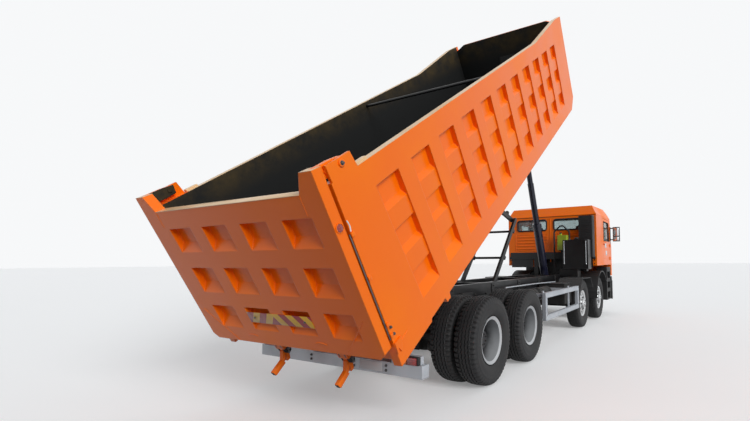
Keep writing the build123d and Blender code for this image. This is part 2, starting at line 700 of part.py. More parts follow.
for index in range(STAGE_COUNT - 1):
    shift = (index + 1) * stage_step
    low = 110 + 10 * index + shift
    high = BARREL_LENGTH + 15 + 15 * index + shift
    with BuildPart() as stage:
        with BuildSketch(hoist_plane.offset(low)):
            Circle(STAGE_RADII[index])
            Circle(STAGE_RADII[index + 1] + STAGE_GAP, mode=Mode.SUBTRACT)
        extrude(amount=high - low)
    stage.part.label = "hoist_stage_" + str(index + 1)
    export_step(stage.part, "parts/hoist_stage_" + str(index + 1) + ".step")

rod_low = 150 + STAGE_COUNT * stage_step
with BuildPart() as hoist_rod:
    with BuildSketch(hoist_plane.offset(rod_low)):
        Circle(STAGE_RADII[3])
    extrude(amount=hoist_length - rod_low)
    with Locations(Location(hoist_top, (90, 0, 0))):
        Cylinder(48, 120)
hoist_rod.part.label = "hoist_rod"
export_step(hoist_rod.part, "parts/hoist_rod.step")

# Stabiliser scissors

half_tip = math.radians(TIP_ANGLE / 2)
fold_angle = math.asin(SCISSOR_REACH * math.sin(half_tip) / SCISSOR_ARM)
lower_foot = (at_station(HINGE_STATION + SCISSOR_REACH), HINGE_Z)
knee = (lower_foot[0] + SCISSOR_ARM * math.cos(half_tip + fold_angle),
        lower_foot[1] + SCISSOR_ARM * math.sin(half_tip + fold_angle))
upper_foot = (tipped(SCISSOR_REACH, 0, 0)[0], tipped(SCISSOR_REACH, 0, 0)[2])


def arm_plane(foot, y):
    along = (knee[0] - foot[0], 0, knee[1] - foot[1])
    return Plane(origin=(foot[0], y, foot[1]), x_dir=along, z_dir=(0, -1, 0))


def scissor_frame(foot, arm_y, cross_side, name):
    with BuildPart() as frame:
        for side in (1, -1):
            with BuildSketch(arm_plane(foot, side * arm_y + ARM_WIDTH / 2)):
                with Locations((SCISSOR_ARM / 2, 0)):
                    SlotCenterToCenter(SCISSOR_ARM, 86)
            extrude(amount=ARM_WIDTH)
        for along in (750, 1450):
            with Locations(arm_plane(foot, 0).location * Location((along, cross_side * 74, 0))):
                Cylinder(22, 2 * arm_y + 20)
            for y in (arm_y, -arm_y):
                with Locations(arm_plane(foot, 0).location * Location((along, cross_side * 62, -y))):
                    Box(70, 70, ARM_WIDTH)
        with Locations(Location((foot[0], 0, foot[1]), (90, 0, 0))):
            Cylinder(SCISSOR_PIN_RADIUS + PIN_GAP, 900, mode=Mode.SUBTRACT)
        if cross_side < 0:
            for side in (1, -1):
                with Locations(Location((knee[0], side * (arm_y - 26), knee[1]), (90, 0, 0))):
                    Cylinder(SCISSOR_PIN_RADIUS, 40)
    frame.part.label = name
    export_step(frame.part, "parts/" + name + ".step")


scissor_frame(lower_foot, LOWER_ARM_Y, -1, "stabiliser_lower")
scissor_frame(upper_foot, UPPER_ARM_Y, 1, "stabiliser_upper")

# Cab

outer_side = ((6350, 1430), (6350, 2790), (6460, 3030), (8050, 3075), (8220, 2960), (8400, 2080),
              (8440, 1960), (8440, 1110), (8300, 1110), (8300, 1430))
inner_side = ((6400, 1480), (6400, 2770), (6495, 2985), (8030, 3025), (8180, 2930), (8350, 2080),
              (8390, 1950), (8390, 1480))
door_outline = ((DOOR_REAR, 1436), (DOOR_FRONT, 1436), (DOOR_FRONT, 2110), (8055, 2725), (DOOR_REAR, 2740))
door_window = ((DOOR_REAR + 90, 2120), (8080, 2120), (7985, 2650), (DOOR_REAR + 90, 2660))


def cab_prism(points, half_width, roof_drop):
    """The cab's side outline across its width, with slanted roof sides."""
    with BuildPart() as prism:
        with BuildSketch(side_plane(half_width)):
            Polygon(*stations(points), align=None)
        extrude(amount=2 * half_width)
        for side in (1, -1):
            with BuildSketch(cross_plane(at_station(CAB_REAR - 20))):
                Polygon((side * (half_width + 10), 2780 - roof_drop), (side * (half_width + 10), 3150),
                        (side * (half_width - 190), 3150), align=None)
            extrude(amount=2300, mode=Mode.SUBTRACT)
    return prism.part


window_centres = ((530, 2550), (-530, 2550))
TUNNEL_SPACE = (1860, 760, 340)
with BuildPart() as cab_shell:
    add(cab_prism(outer_side, CAB_HALF_WIDTH, 0))
    add(cab_prism(inner_side, CAB_HALF_WIDTH - CAB_WALL, 20), mode=Mode.SUBTRACT)
    with Locations((at_station(7320), 0, 1635)):
        Box(1840, 840, 310)
    with Locations((at_station(7270), 0, 1580)):
        Box(*TUNNEL_SPACE, mode=Mode.SUBTRACT)
    with Locations((at_station(CAB_REAR), 0, 2300)):
        Box(2 * CAB_WALL, 3000, 2000, mode=Mode.SUBTRACT)
    for side in (1, -1):
        with BuildSketch(side_plane(side * CAB_HALF_WIDTH + 70)) as opening:
            Polygon(*stations(door_outline), align=None)
            offset(amount=PANEL_GAP)
        extrude(amount=140, mode=Mode.SUBTRACT)
    with BuildSketch(cross_plane(at_station(8150))):
        with Locations((0, 2500)):
            Rectangle(2160, 780)
    extrude(amount=300, mode=Mode.SUBTRACT)
    for side in (1, -1):
        with BuildSketch(side_plane(side * CAB_LUG_Y + 30)):
            Polygon(*stations(((8303, 950), (8357, 950), (8357, 1130), (8303, 1130))), align=None)
            with Locations((at_station(CAB_TILT_STATION), CAB_TILT_Z)):
                Circle(27)
        extrude(amount=60)
        with Locations(Location((at_station(CAB_TILT_STATION), side * CAB_LUG_Y, CAB_TILT_Z), (90, 0, 0))):
            Cylinder(CAB_PIN_RADIUS + PIN_GAP, 80, mode=Mode.SUBTRACT)
        for z in DOOR_HINGE_HEIGHTS:
            with Locations((at_station(DOOR_HINGE_STATION), side * DOOR_HINGE_Y, z)):
                Cylinder(DOOR_PIN_RADIUS, 100)
            for step in (-42, 42):
                with Locations((at_station(8192), side * DOOR_HINGE_Y, z + step)):
                    Box(36, 16, 16)
                with Locations((at_station(8200), side * 1247, z + step)):
                    Box(22, 26, 16)
cab_shell.part.label = "cab_shell"
export_step(cab_shell.part, "parts/cab_shell.step")

with BuildPart() as cab_rear_wall:
    add(cab_prism(outer_side, CAB_HALF_WIDTH, 0))
    with Locations((at_station(CAB_REAR + CAB_WALL / 2), 0, 2300)):
        Box(CAB_WALL, 3000, 2000, mode=Mode.INTERSECT)
    with Locations((at_station(7270), 0, 1580)):
        Box(*TUNNEL_SPACE, mode=Mode.SUBTRACT)
    with BuildSketch(cross_plane(at_station(CAB_REAR - 10))):
        with Locations(*window_centres):
            RectangleRounded(860, 300, 60)
    extrude(amount=80, mode=Mode.SUBTRACT)
    for index in range(5):
        for y in (530, -530):
            with Locations((at_station(CAB_REAR - 4), y, 1900 + index * 84)):
                Box(20, 900, 26)
    with Locations((at_station(CAB_REAR + 4), 0, 2788)):
        Box(24, 2 * CAB_HALF_WIDTH - 8, 22)
cab_rear_wall.part.label = "cab_rear_wall"
export_step(cab_rear_wall.part, "parts/cab_rear_wall.step")

with BuildPart() as cab_glass:
    with BuildSketch(cross_plane(at_station(CAB_REAR + 22))):
        with Locations(*window_centres):
            RectangleRounded(860, 300, 60)
    extrude(amount=6)
    with BuildSketch(side_plane(1080)):
        Polygon(*stations(((8374, 2110), (8214.5, 2890), (8206.5, 2890), (8366, 2110))), align=None)
    extrude(amount=2160)
cab_glass.part.label = "cab_glass"
export_step(cab_glass.part, "parts/cab_glass.step")

with BuildPart() as cab_seats:
    for y in (720, -720):
        with Locations((at_station(7450), y, 1650)):
            Box(380, 380, 340)
        with Locations((at_station(7450), y, 1885)):
            Box(520, 500, 130)
        with Locations((at_station(7200), y, 2230)):
            Box(120, 480, 680)
        with Locations((at_station(7195), y, 2630)):
            Box(90, 260, 140)
cab_seats.part.label = "cab_seats"
export_step(cab_seats.part, "parts/cab_seats.step")

with BuildPart() as dashboard:
    with BuildSketch(side_plane(1175)):
        Polygon(*stations(((8390, 1850), (8390, 1950), (8352, 2073),
                           (8120, 2090), (8020, 2040), (8060, 1850))),
                align=None)
    extrude(amount=2350)
    wheel_place = Location((at_station(7900), 720, 2150), (0, -55, 0))
    with Locations(wheel_place):
        Cylinder(222, 26)
        Cylinder(196, 30, mode=Mode.SUBTRACT)
        Box(400, 40, 16)
        with Locations((0, 0, -120)):
            Cylinder(26, 260)
dashboard.part.label = "dashboard"
export_step(dashboard.part, "parts/dashboard.step")

with BuildPart() as cab_mirrors:
    for side in (1, -1):
        with Locations((at_station(8240), side * 1430, 2340)):
            Box(90, 190, 430)
        for z in (2520, 2180):
            with Locations((at_station(8240), side * 1302.5, z)):
                Box(30, 125, 30)
    with BuildSketch(side_plane(1010)):
        Polygon(*stations(((8200, 2973.6), (8220.1, 2960), (8228.1, 2920.9),
                           (8345, 2835), (8358, 2848), (8235, 3000))), align=None)
    extrude(amount=2020)
cab_mirrors.part.label = "cab_mirrors"
export_step(cab_mirrors.part, "parts/cab_mirrors.step")


def door(side, name):
    inner_plane = side_plane(side * (CAB_HALF_WIDTH - CAB_WALL))
    with BuildPart() as leaf:
        with BuildSketch(inner_plane):
            Polygon(*stations(door_outline), align=None)
            Polygon(*stations(door_window), align=None, mode=Mode.SUBTRACT)
        extrude(amount=-side * CAB_WALL)
        with Locations((at_station(DOOR_REAR + 110), side * (CAB_HALF_WIDTH + 8), 2020)):
            Box(150, 24, 36)
        for z in DOOR_HINGE_HEIGHTS:
            with Locations((at_station(DOOR_HINGE_STATION), side * DOOR_HINGE_Y, z)):
                Cylinder(11, 64)
            with Locations((at_station(DOOR_HINGE_STATION - 20), side * 1243, z)):
                Box(24, 14, 64)
            with Locations((at_station(DOOR_HINGE_STATION), side * DOOR_HINGE_Y, z)):
                Cylinder(DOOR_PIN_RADIUS + PIN_GAP, 70, mode=Mode.SUBTRACT)
    leaf.part.label = name
    export_step(leaf.part, "parts/" + name + ".step")
    with BuildPart() as pane:
        with BuildSketch(side_plane(side * (CAB_HALF_WIDTH - CAB_WALL / 2))):
            Polygon(*stations(door_window), align=None)
        extrude(amount=-side * 6)
    pane.part.label = name + "_glass"
    export_step(pane.part, "parts/" + name + "_glass.step")


door(1, "door_left")
door(-1, "door_right")

# Wheels and knuckles


def wheel_plane(x, side):
    return Plane(origin=(x, 0, WHEEL_RADIUS), x_dir=(0, side, 0), z_dir=(side, 0, 0))


def facing_plane(x, y):
    return Plane(origin=(x, y, WHEEL_RADIUS), x_dir=(1, 0, 0), z_dir=(0, 1, 0))


half_tyre = TYRE_WIDTH / 2
# low and high end across the tyre, radius at each: the shoulders and the tread between them
tyre_bands = (
    (-half_tyre, -half_tyre + 42, 500, WHEEL_RADIUS),
    (-half_tyre + 42, half_tyre - 42, WHEEL_RADIUS, WHEEL_RADIUS),
    (half_tyre - 42, half_tyre, WHEEL_RADIUS, 500),
)


def make_tyres(x, name, middles):
    """Plain tyres with few sides, whose tread and rounding are left to the finish."""
    with BuildPart() as rubber:
        for middle in middles:
            for low, high, low_radius, high_radius in tyre_bands:
                with BuildSketch(facing_plane(x, middle + low)):
                    RegularPolygon(low_radius, TYRE_SIDES)
                with BuildSketch(facing_plane(x, middle + high)):
                    RegularPolygon(high_radius, TYRE_SIDES)
                loft(ruled=True)
            for end in (-1, 1):
                with BuildSketch(facing_plane(x, middle + end * half_tyre)):
                    RegularPolygon(400, TYRE_SIDES)
                with BuildSketch(facing_plane(x, middle + end * (half_tyre - 56))):
                    RegularPolygon(RIM_RADIUS + 26, TYRE_SIDES)
                loft(ruled=True, mode=Mode.SUBTRACT)
            with BuildSketch(facing_plane(x, middle - half_tyre)):
                RegularPolygon(RIM_RADIUS, TYRE_SIDES, major_radius=False)
            extrude(amount=TYRE_WIDTH, mode=Mode.SUBTRACT)
    rubber.part.label = name
    export_step(rubber.part, "parts/" + name + ".step")


def make_rim(x, side, name, profile, hand_holes):
    wheel_axis = Axis((x, 0, WHEEL_RADIUS), (0, 1, 0))
    with BuildPart() as rim:
        with BuildSketch(wheel_plane(x, side)):
            Polygon(*profile, align=None)
        revolve(axis=wheel_axis)
        if hand_holes:
            with BuildSketch(facing_plane(x, side * 1100 - 60)):
                with PolarLocations(205, hand_holes):
                    RegularPolygon(30, 8)
            extrude(amount=120, mode=Mode.SUBTRACT)
    rim.part.label = name
    export_step(rim.part, "parts/" + name + ".step")


rear_bore = REAR_SPINDLE_RADIUS + PIN_GAP
rear_rim_points = ((790, rear_bore), (1044, rear_bore), (1044, 0), (1092, 0), (1092, 108), (935, 118),
                   (945, 262), (1205, 262), (1220, 302), (1200, RIM_RADIUS), (660, RIM_RADIUS),
                   (640, 302), (655, 262), (915, 262), (905, 118), (790, 118))
front_bore = SPINDLE_RADIUS + PIN_GAP
front_rim_points = ((962, front_bore), (1098, front_bore), (1098, 0), (1185, 0), (1185, 78), (1165, 105),
                    (1128, 112), (1122, 165), (1092, 262), (1112, 262), (1126, 302), (1106, RIM_RADIUS),
                    (914, RIM_RADIUS), (894, 302), (908, 262), (1070, 262), (1098, 168), (1104, 120),
                    (962, 95))


for side, side_name in ((1, "left"), (-1, "right")):
    for number, station in ((4, REAR_AXLES[0]), (3, REAR_AXLES[1])):
        x = at_station(station)
        tag = side_name + "_" + str(number)
        inner_y = side * (TWIN_Y - TWIN_SPACING / 2)
        outer_y = side * (TWIN_Y + TWIN_SPACING / 2)
        make_tyres(x, "tyres_" + tag, (inner_y, outer_y))
        make_rim(x, side, "rims_" + tag, rear_rim_points, 0)
    for number, station in ((2, FRONT_AXLES[0]), (1, FRONT_AXLES[1])):
        x = at_station(station)
        tag = side_name + "_" + str(number)
        make_tyres(x, "tyre_" + tag, (side * FRONT_WHEEL_Y,))
        make_rim(x, side, "rim_" + tag, front_rim_points, 10)
        with BuildPart() as knuckle:
            for z in (484.5, 635.5):
                with Locations((x, side * 888, z)):
                    Box(110, 140, 25)
            with Locations((x, side * 946, 560)):
                Box(110, 24, 176)
            with Locations((x, side * KINGPIN_Y, 560)):
                Cylinder(KINGPIN_RADIUS, 176)
            with Locations(Location((x, side * 1020, WHEEL_RADIUS), (90, 0, 0))):
                Cylinder(SPINDLE_RADIUS, 150)
        knuckle.part.label = "knuckle_" + tag
        export_step(knuckle.part, "parts/knuckle_" + tag + ".step")
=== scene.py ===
import math

import bmesh
import bpy
from mathutils import Matrix, Vector


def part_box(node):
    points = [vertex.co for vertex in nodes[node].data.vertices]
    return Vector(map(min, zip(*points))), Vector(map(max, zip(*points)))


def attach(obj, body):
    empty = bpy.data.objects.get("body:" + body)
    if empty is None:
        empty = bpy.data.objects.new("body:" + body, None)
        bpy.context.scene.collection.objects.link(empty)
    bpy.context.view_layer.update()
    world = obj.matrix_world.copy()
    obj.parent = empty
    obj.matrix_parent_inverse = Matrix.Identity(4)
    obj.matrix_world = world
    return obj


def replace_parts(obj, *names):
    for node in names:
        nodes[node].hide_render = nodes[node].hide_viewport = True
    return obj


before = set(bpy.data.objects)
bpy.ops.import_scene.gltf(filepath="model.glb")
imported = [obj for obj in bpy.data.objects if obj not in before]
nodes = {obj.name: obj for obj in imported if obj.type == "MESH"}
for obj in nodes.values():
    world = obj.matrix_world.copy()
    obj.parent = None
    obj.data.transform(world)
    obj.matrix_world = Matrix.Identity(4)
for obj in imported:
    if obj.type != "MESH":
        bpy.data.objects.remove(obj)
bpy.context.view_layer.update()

# The photograph's camera, in metres, degrees and photograph pixels
PHOTO_WIDTH = 750
FOCAL_PIXELS = 419.46
SENSOR_WIDTH = 36.0
CAMERA_PLACE = Vector((-7.6897, -3.5597, 1.5804))
CAMERA_YAW = 29.234
CAMERA_PITCH = 3.344
CAMERA_ROLL = -0.352
SIDEWAYS_PIXELS = -88.63
UPWARD_PIXELS = 25.60

# The bed's own axes: along the bed, across it and up from its hinge
TIP_ANGLE = math.radians(34.8)
BED_HINGE = Vector((-3.876, 0.0, 1.110))
BED_ALONG = Vector((math.cos(TIP_ANGLE), 0.0, math.sin(TIP_ANGLE)))
BED_UP = Vector((-math.sin(TIP_ANGLE), 0.0, math.cos(TIP_ANGLE)))
BED_FRONT = 6.695
BED_HALF_WIDTH = 1.250
BED_SIDE_SHEET = 0.090
BED_FLOOR_UP = 0.370
BED_FRONT_SHEET = 0.080
BED_TOP_UP = 1.788
BED_FRONT_TOP_UP = 1.955

# The tailgate leans against the bed: depth in from its outer face, height up along that face
GATE_RAKE = math.radians(5.4)
GATE_FOOT = -1.049
GATE_ALONG = (BED_ALONG * math.cos(GATE_RAKE) - BED_UP * math.sin(GATE_RAKE)).normalized()
GATE_UP = (BED_ALONG * math.sin(GATE_RAKE) + BED_UP * math.cos(GATE_RAKE)).normalized()
GATE_SHEET = 0.100
GATE_BOTTOM = 0.165
GATE_TOP = 1.685
GATE_EAR = 1.850


def bed_point(along, across, up):
    return BED_HINGE + BED_ALONG * along + BED_UP * up + Vector((0.0, across, 0.0))


def gate_point(inward, across, up):
    return BED_HINGE + GATE_ALONG * (GATE_FOOT + inward) + GATE_UP * up + Vector((0.0, across, 0.0))


SIDES = (("left", 1.0), ("right", -1.0))
AHEAD = (1.0, 0.0, 0.0)
BACK = (-1.0, 0.0, 0.0)
LEFTWARD = (0.0, 1.0, 0.0)
UPWARD = (0.0, 0.0, 1.0)


# Camera, floor and light

def turned_axes(yaw, pitch, roll):
    ahead = Vector((math.cos(yaw) * math.cos(pitch), math.sin(yaw) * math.cos(pitch), math.sin(pitch)))
    right = Vector((math.sin(yaw), -math.cos(yaw), 0.0))
    up = right.cross(ahead)
    rolled_right = right * math.cos(roll) + up * math.sin(roll)
    rolled_up = up * math.cos(roll) - right * math.sin(roll)
    return ahead, rolled_right, rolled_up


def make_camera():
    data = bpy.data.cameras.new("camera")
    data.sensor_width = SENSOR_WIDTH
    data.lens = SENSOR_WIDTH * FOCAL_PIXELS / PHOTO_WIDTH
    data.shift_x = SIDEWAYS_PIXELS / PHOTO_WIDTH
    data.shift_y = UPWARD_PIXELS / PHOTO_WIDTH
    data.clip_end = 400.0
    camera = bpy.data.objects.new("camera", data)
    angles = (math.radians(angle) for angle in (CAMERA_YAW, CAMERA_PITCH, CAMERA_ROLL))
    ahead, right, up = turned_axes(*angles)
    camera.matrix_world = Matrix((
        (right.x, up.x, -ahead.x, CAMERA_PLACE.x),
        (right.y, up.y, -ahead.y, CAMERA_PLACE.y),
        (right.z, up.z, -ahead.z, CAMERA_PLACE.z),
        (0.0, 0.0, 0.0, 1.0),
    ))
    bpy.context.scene.collection.objects.link(camera)
    bpy.context.scene.camera = camera


def make_sun(name, towards, strength, softness):
    data = bpy.data.lights.new(name, "SUN")
    data.energy = strength
    data.angle = math.radians(softness)
    lamp = bpy.data.objects.new(name, data)
    lamp.rotation_euler = Vector(towards).to_track_quat("-Z", "Y").to_euler()
    bpy.context.scene.collection.objects.link(lamp)


def make_world():
    world = bpy.data.worlds.new("studio")
    bpy.context.scene.world = world
    world.use_nodes = True
    tree = world.node_tree
    tree.nodes.clear()
    output = tree.nodes.new("ShaderNodeOutputWorld")
    light = place(tree, "ShaderNodeBackground", {"Color": (0.90, 0.95, 1.0, 1.0), "Strength": 0.30})
    backdrop = place(tree, "ShaderNodeBackground", {"Color": (0.93, 0.94, 0.95, 1.0), "Strength": 1.0})
    both = place(tree, "ShaderNodeMixShader",
                 {0: seen_directly(tree), 1: light.outputs[0], 2: backdrop.outputs[0]})
    tree.links.new(both.outputs[0], output.inputs["Surface"])


# Shader building

def set_sockets(tree, node, inputs):
    """Gives each socket a value, or links it to another node's socket."""
    for socket, value in inputs.items():
        if isinstance(value, bpy.types.NodeSocket):
            tree.links.new(value, node.inputs[socket])
        else:
            node.inputs[socket].default_value = value


def place(tree, kind, inputs=None, **settings):
    """A new node with its settings and its sockets set."""
    node = tree.nodes.new(kind)
    for name, value in settings.items():
        setattr(node, name, value)
    set_sockets(tree, node, inputs or {})
    return node


def on_object(tree):
    return tree.nodes.new("ShaderNodeTexCoord").outputs["Object"]


def maths(tree, operation, first, second=0.0):
    return place(tree, "ShaderNodeMath", {0: first, 1: second}, operation=operation).outputs[0]


def step(tree, value, low, high):
    """0 below low, 1 above high, smooth between."""
    inputs = {"Value": value, "From Min": low, "From Max": high, "To Min": 0.0, "To Max": 1.0}
    return place(tree, "ShaderNodeMapRange", inputs, interpolation_type="SMOOTHSTEP").outputs["Result"]


def noise(tree, vector, scale, detail=3.0, roughness=0.55):
    inputs = {"Vector": vector, "Scale": scale, "Detail": detail, "Roughness": roughness}
    return place(tree, "ShaderNodeTexNoise", inputs).outputs["Fac"]


def blended(tree, amount, first, second):
    """Two colours mixed; a plain one is given as three numbers."""
    first, second = ((*colour, 1.0) if isinstance(colour, tuple) else colour for colour in (first, second))
    return place(tree, "ShaderNodeMix", {0: amount, 6: first, 7: second}, data_type="RGBA").outputs[2]


def mixed(tree, amount, first, second):
    return place(tree, "ShaderNodeMix", {0: amount, 2: first, 3: second}, data_type="FLOAT").outputs[0]


def seen_directly(tree):
    """1 where the eye, a metal or a glass sees the backdrop; 0 where it only gives light."""
    path = tree.nodes.new("ShaderNodeLightPath").outputs
    direct = maths(tree, "MAXIMUM", path["Is Camera Ray"], path["Is Transmission Ray"])
    return maths(tree, "MAXIMUM", direct, path["Is Glossy Ray"])


def new_group(name, inputs, outputs):
    group = bpy.data.node_groups.new(name, "ShaderNodeTree")
    for label, kind, default in inputs:
        socket = group.interface.new_socket(label, in_out="INPUT", socket_type="NodeSocket" + kind)
        socket.default_value = default
    for label, kind in outputs:
        group.interface.new_socket(label, in_out="OUTPUT", socket_type="NodeSocket" + kind)
    entry = group.nodes.new("NodeGroupInput")
    leave = group.nodes.new("NodeGroupOutput")
    return group, entry.outputs, leave.inputs


def make_sheet_finish():
    """Paint or metal with clouding, edges lightened partly as worn paint and partly as painted highlight, and
    dust on what faces up and lies low.
    """
    group, given, result = new_group(
        "sheet_finish",
        [("Paint", "Color", (0.8, 0.2, 0.02, 1)), ("Faded", "Color", (0.8, 0.25, 0.05, 1)),
         ("Edge Colour", "Color", (0.9, 0.4, 0.1, 1)), ("Dust Colour", "Color", (0.16, 0.145, 0.125, 1)),
         ("Cloud Scale", "Float", 1.3), ("Edge Radius", "Float", 0.006), ("Edge Amount", "Float", 0.3),
         ("Dust Amount", "Float", 0.2), ("Low Dust", "Float", 0.3), ("Roughness Low", "Float", 0.3),
         ("Roughness High", "Float", 0.5), ("Ripple", "Float", 0.05), ("Ripple Scale", "Float", 6.0)],
        [("Color", "Color"), ("Roughness", "Float"), ("Normal", "Vector")])
    spot = group.nodes.new("ShaderNodeTexCoord")
    where = spot.outputs["Object"]
    cloud = noise(group, where, given["Cloud Scale"], 4.0, 0.6)
    fading = step(group, cloud, 0.38, 0.68)
    paint = blended(group, fading, given["Paint"], given["Faded"])
    bevel = place(group, "ShaderNodeBevel", {"Radius": given["Edge Radius"]}, samples=4)
    surface = group.nodes.new("ShaderNodeNewGeometry")
    agreement = place(group, "ShaderNodeVectorMath", {0: bevel.outputs[0], 1: surface.outputs["Normal"]},
                      operation="DOT_PRODUCT").outputs["Value"]
    turn_away = step(group, maths(group, "SUBTRACT", 1.0, agreement), 0.01, 0.10)
    grain = noise(group, where, 34.0, 3.0, 0.7)
    # Lighter edges where the bevel turns the normal: partly wear, partly a painted highlight.
    lit_and_worn_edge = maths(group, "MULTIPLY", turn_away, step(group, grain, 0.42, 0.62))
    lit_and_worn_edge = maths(group, "MULTIPLY", lit_and_worn_edge, given["Edge Amount"])
    paint = blended(group, lit_and_worn_edge, paint, given["Edge Colour"])
    split = place(group, "ShaderNodeSeparateXYZ", {0: spot.outputs["Normal"]})
    facing_up = step(group, split.outputs["Z"], 0.25, 0.95)
    height = place(group, "ShaderNodeSeparateXYZ", {0: where}).outputs["Z"]
    low = maths(group, "SUBTRACT", 1.0, step(group, height, 0.25, 1.25))
    patches = step(group, noise(group, where, 3.1, 5.0, 0.65), 0.35, 0.72)
    dust = maths(group, "MULTIPLY", facing_up, given["Dust Amount"])
    dust = maths(group, "ADD", dust, maths(group, "MULTIPLY", low, given["Low Dust"]))
    dust = maths(group, "MULTIPLY", dust, maths(group, "ADD", 0.35, maths(group, "MULTIPLY", patches, 0.65)))
    colour = blended(group, dust, paint, given["Dust Colour"])
    group.links.new(colour, result["Color"])
    rough_mix = mixed(group, fading, given["Roughness Low"], given["Roughness High"])
    group.links.new(maths(group, "ADD", rough_mix, maths(group, "MULTIPLY", dust, 0.4)), result["Roughness"])
    ripple = noise(group, where, given["Ripple Scale"], 2.0, 0.5)
    fine = noise(group, where, 220.0, 2.0, 0.5)
    relief = maths(group, "ADD", ripple, maths(group, "MULTIPLY", fine, 0.06))
    bump = place(group, "ShaderNodeBump", {"Strength": given["Ripple"], "Distance": 0.02, "Height": relief,
                                           "Normal": bevel.outputs[0]})
    group.links.new(bump.outputs[0], result["Normal"])
    return group


def make_bed_axes():
    """Distances along, across and above the bed's hinge, and in and up from the tailgate's foot."""
    group, _, result = new_group(
        "bed_axes", [], [(label, "Float") for label in ("Along", "Across", "Up", "Inward", "Gate Up")])
    spot = group.nodes.new("ShaderNodeTexCoord")
    from_hinge = place(group, "ShaderNodeVectorMath", {0: spot.outputs["Object"], 1: tuple(BED_HINGE)},
                       operation="SUBTRACT").outputs["Vector"]
    for axis, output, start in ((BED_ALONG, "Along", 0.0), (BED_UP, "Up", 0.0),
                                (GATE_ALONG, "Inward", GATE_FOOT), (GATE_UP, "Gate Up", 0.0)):
        reach = place(group, "ShaderNodeVectorMath", {0: from_hinge, 1: tuple(axis)}, operation="DOT_PRODUCT")
        group.links.new(maths(group, "SUBTRACT", reach.outputs["Value"], start), result[output])
    across = place(group, "ShaderNodeSeparateXYZ", {0: spot.outputs["Object"]}).outputs["Y"]
    group.links.new(maths(group, "ABSOLUTE", across), result["Across"])
    return group


def new_material(name):
    material = bpy.data.materials.new(name)
    material.use_nodes = True
    tree = material.node_tree
    tree.nodes.clear()
    output = tree.nodes.new("ShaderNodeOutputMaterial")
    shader = tree.nodes.new("ShaderNodeBsdfPrincipled")
    tree.links.new(shader.outputs[0], output.inputs["Surface"])
    return material, tree, shader


def shared_finish(tree, paint, faded, edge, **values):
    """The shared finish in a material; its other sockets are named with underscores for spaces."""
    finish = place(tree, "ShaderNodeGroup", node_tree=sheet_finish)
    for socket, colour in (("Paint", paint), ("Faded", faded), ("Edge Colour", edge)):
        finish.inputs[socket].default_value = (*colour, 1.0)
    for socket, value in values.items():
        finish.inputs[socket.replace("_", " ").title()].default_value = value
    return finish.outputs


def sheet_material(name, paint, faded, edge, metallic=0.0, coat=0.0, shine=0.4, **values):
    material, tree, shader = new_material(name)
    finish = shared_finish(tree, paint, faded, edge, **values)
    set_sockets(tree, shader, {
        "Metallic": metallic, "Coat Weight": coat, "Coat Roughness": 0.12, "Specular IOR Level": shine,
        "Base Color": finish["Color"], "Roughness": finish["Roughness"], "Normal": finish["Normal"]})
    return material


ORANGE = (0.93, 0.160, 0.0005)
ORANGE_FADED = (0.95, 0.185, 0.001)
# lighter orange of the edges: worn paint and painted highlight
ORANGE_EDGE = (0.95, 0.36, 0.07)
BED_INSIDE = (0.0075, 0.008, 0.008)
BED_OVERSPRAY = (0.060, 0.040, 0.014)
SKIN = 0.004


def make_bed_orange():
    """Orange outside; inside the bed near-black primer with overspray along its edges."""
    material, tree, shader = new_material("bed_orange")
    finish = shared_finish(tree, ORANGE, ORANGE_FADED, ORANGE_EDGE, cloud_scale=0.8, edge_radius=0.012,
                           edge_amount=0.35, dust_amount=0.04, low_dust=0.05, roughness_low=0.28,
                           roughness_high=0.40, ripple=0.10, ripple_scale=2.2)
    axes = place(tree, "ShaderNodeGroup", node_tree=bed_axes).outputs
    within = maths(tree, "LESS_THAN", axes["Across"], BED_HALF_WIDTH - BED_SIDE_SHEET + SKIN)
    for test, axis, limit in (("GREATER_THAN", "Up", BED_FLOOR_UP - SKIN),
                              ("LESS_THAN", "Along", BED_FRONT - BED_FRONT_SHEET + SKIN),
                              ("GREATER_THAN", "Inward", GATE_SHEET - SKIN)):
        within = maths(tree, "MULTIPLY", within, maths(tree, test, axes[axis], limit))
    streak = noise(tree, on_object(tree), 2.6, 6.0, 0.7)
    near_top = step(tree, axes["Up"], BED_TOP_UP - 0.34, BED_TOP_UP + 0.04)
    near_tail = maths(tree, "SUBTRACT", 1.0, step(tree, axes["Inward"], GATE_SHEET, 0.75))
    spray = maths(tree, "MAXIMUM", near_top, near_tail)
    spray = maths(tree, "MULTIPLY", spray, step(tree, streak, 0.30, 0.75))
    primer = blended(tree, spray, BED_INSIDE, BED_OVERSPRAY)
    set_sockets(tree, shader, {
        "Base Color": blended(tree, within, finish["Color"], primer),
        "Roughness": mixed(tree, within, finish["Roughness"], 0.62), "Normal": finish["Normal"],
        "Coat Weight": maths(tree, "MULTIPLY", maths(tree, "SUBTRACT", 1.0, within), 0.10),
        "Coat Roughness": 0.15, "Specular IOR Level": 0.22})
    return material


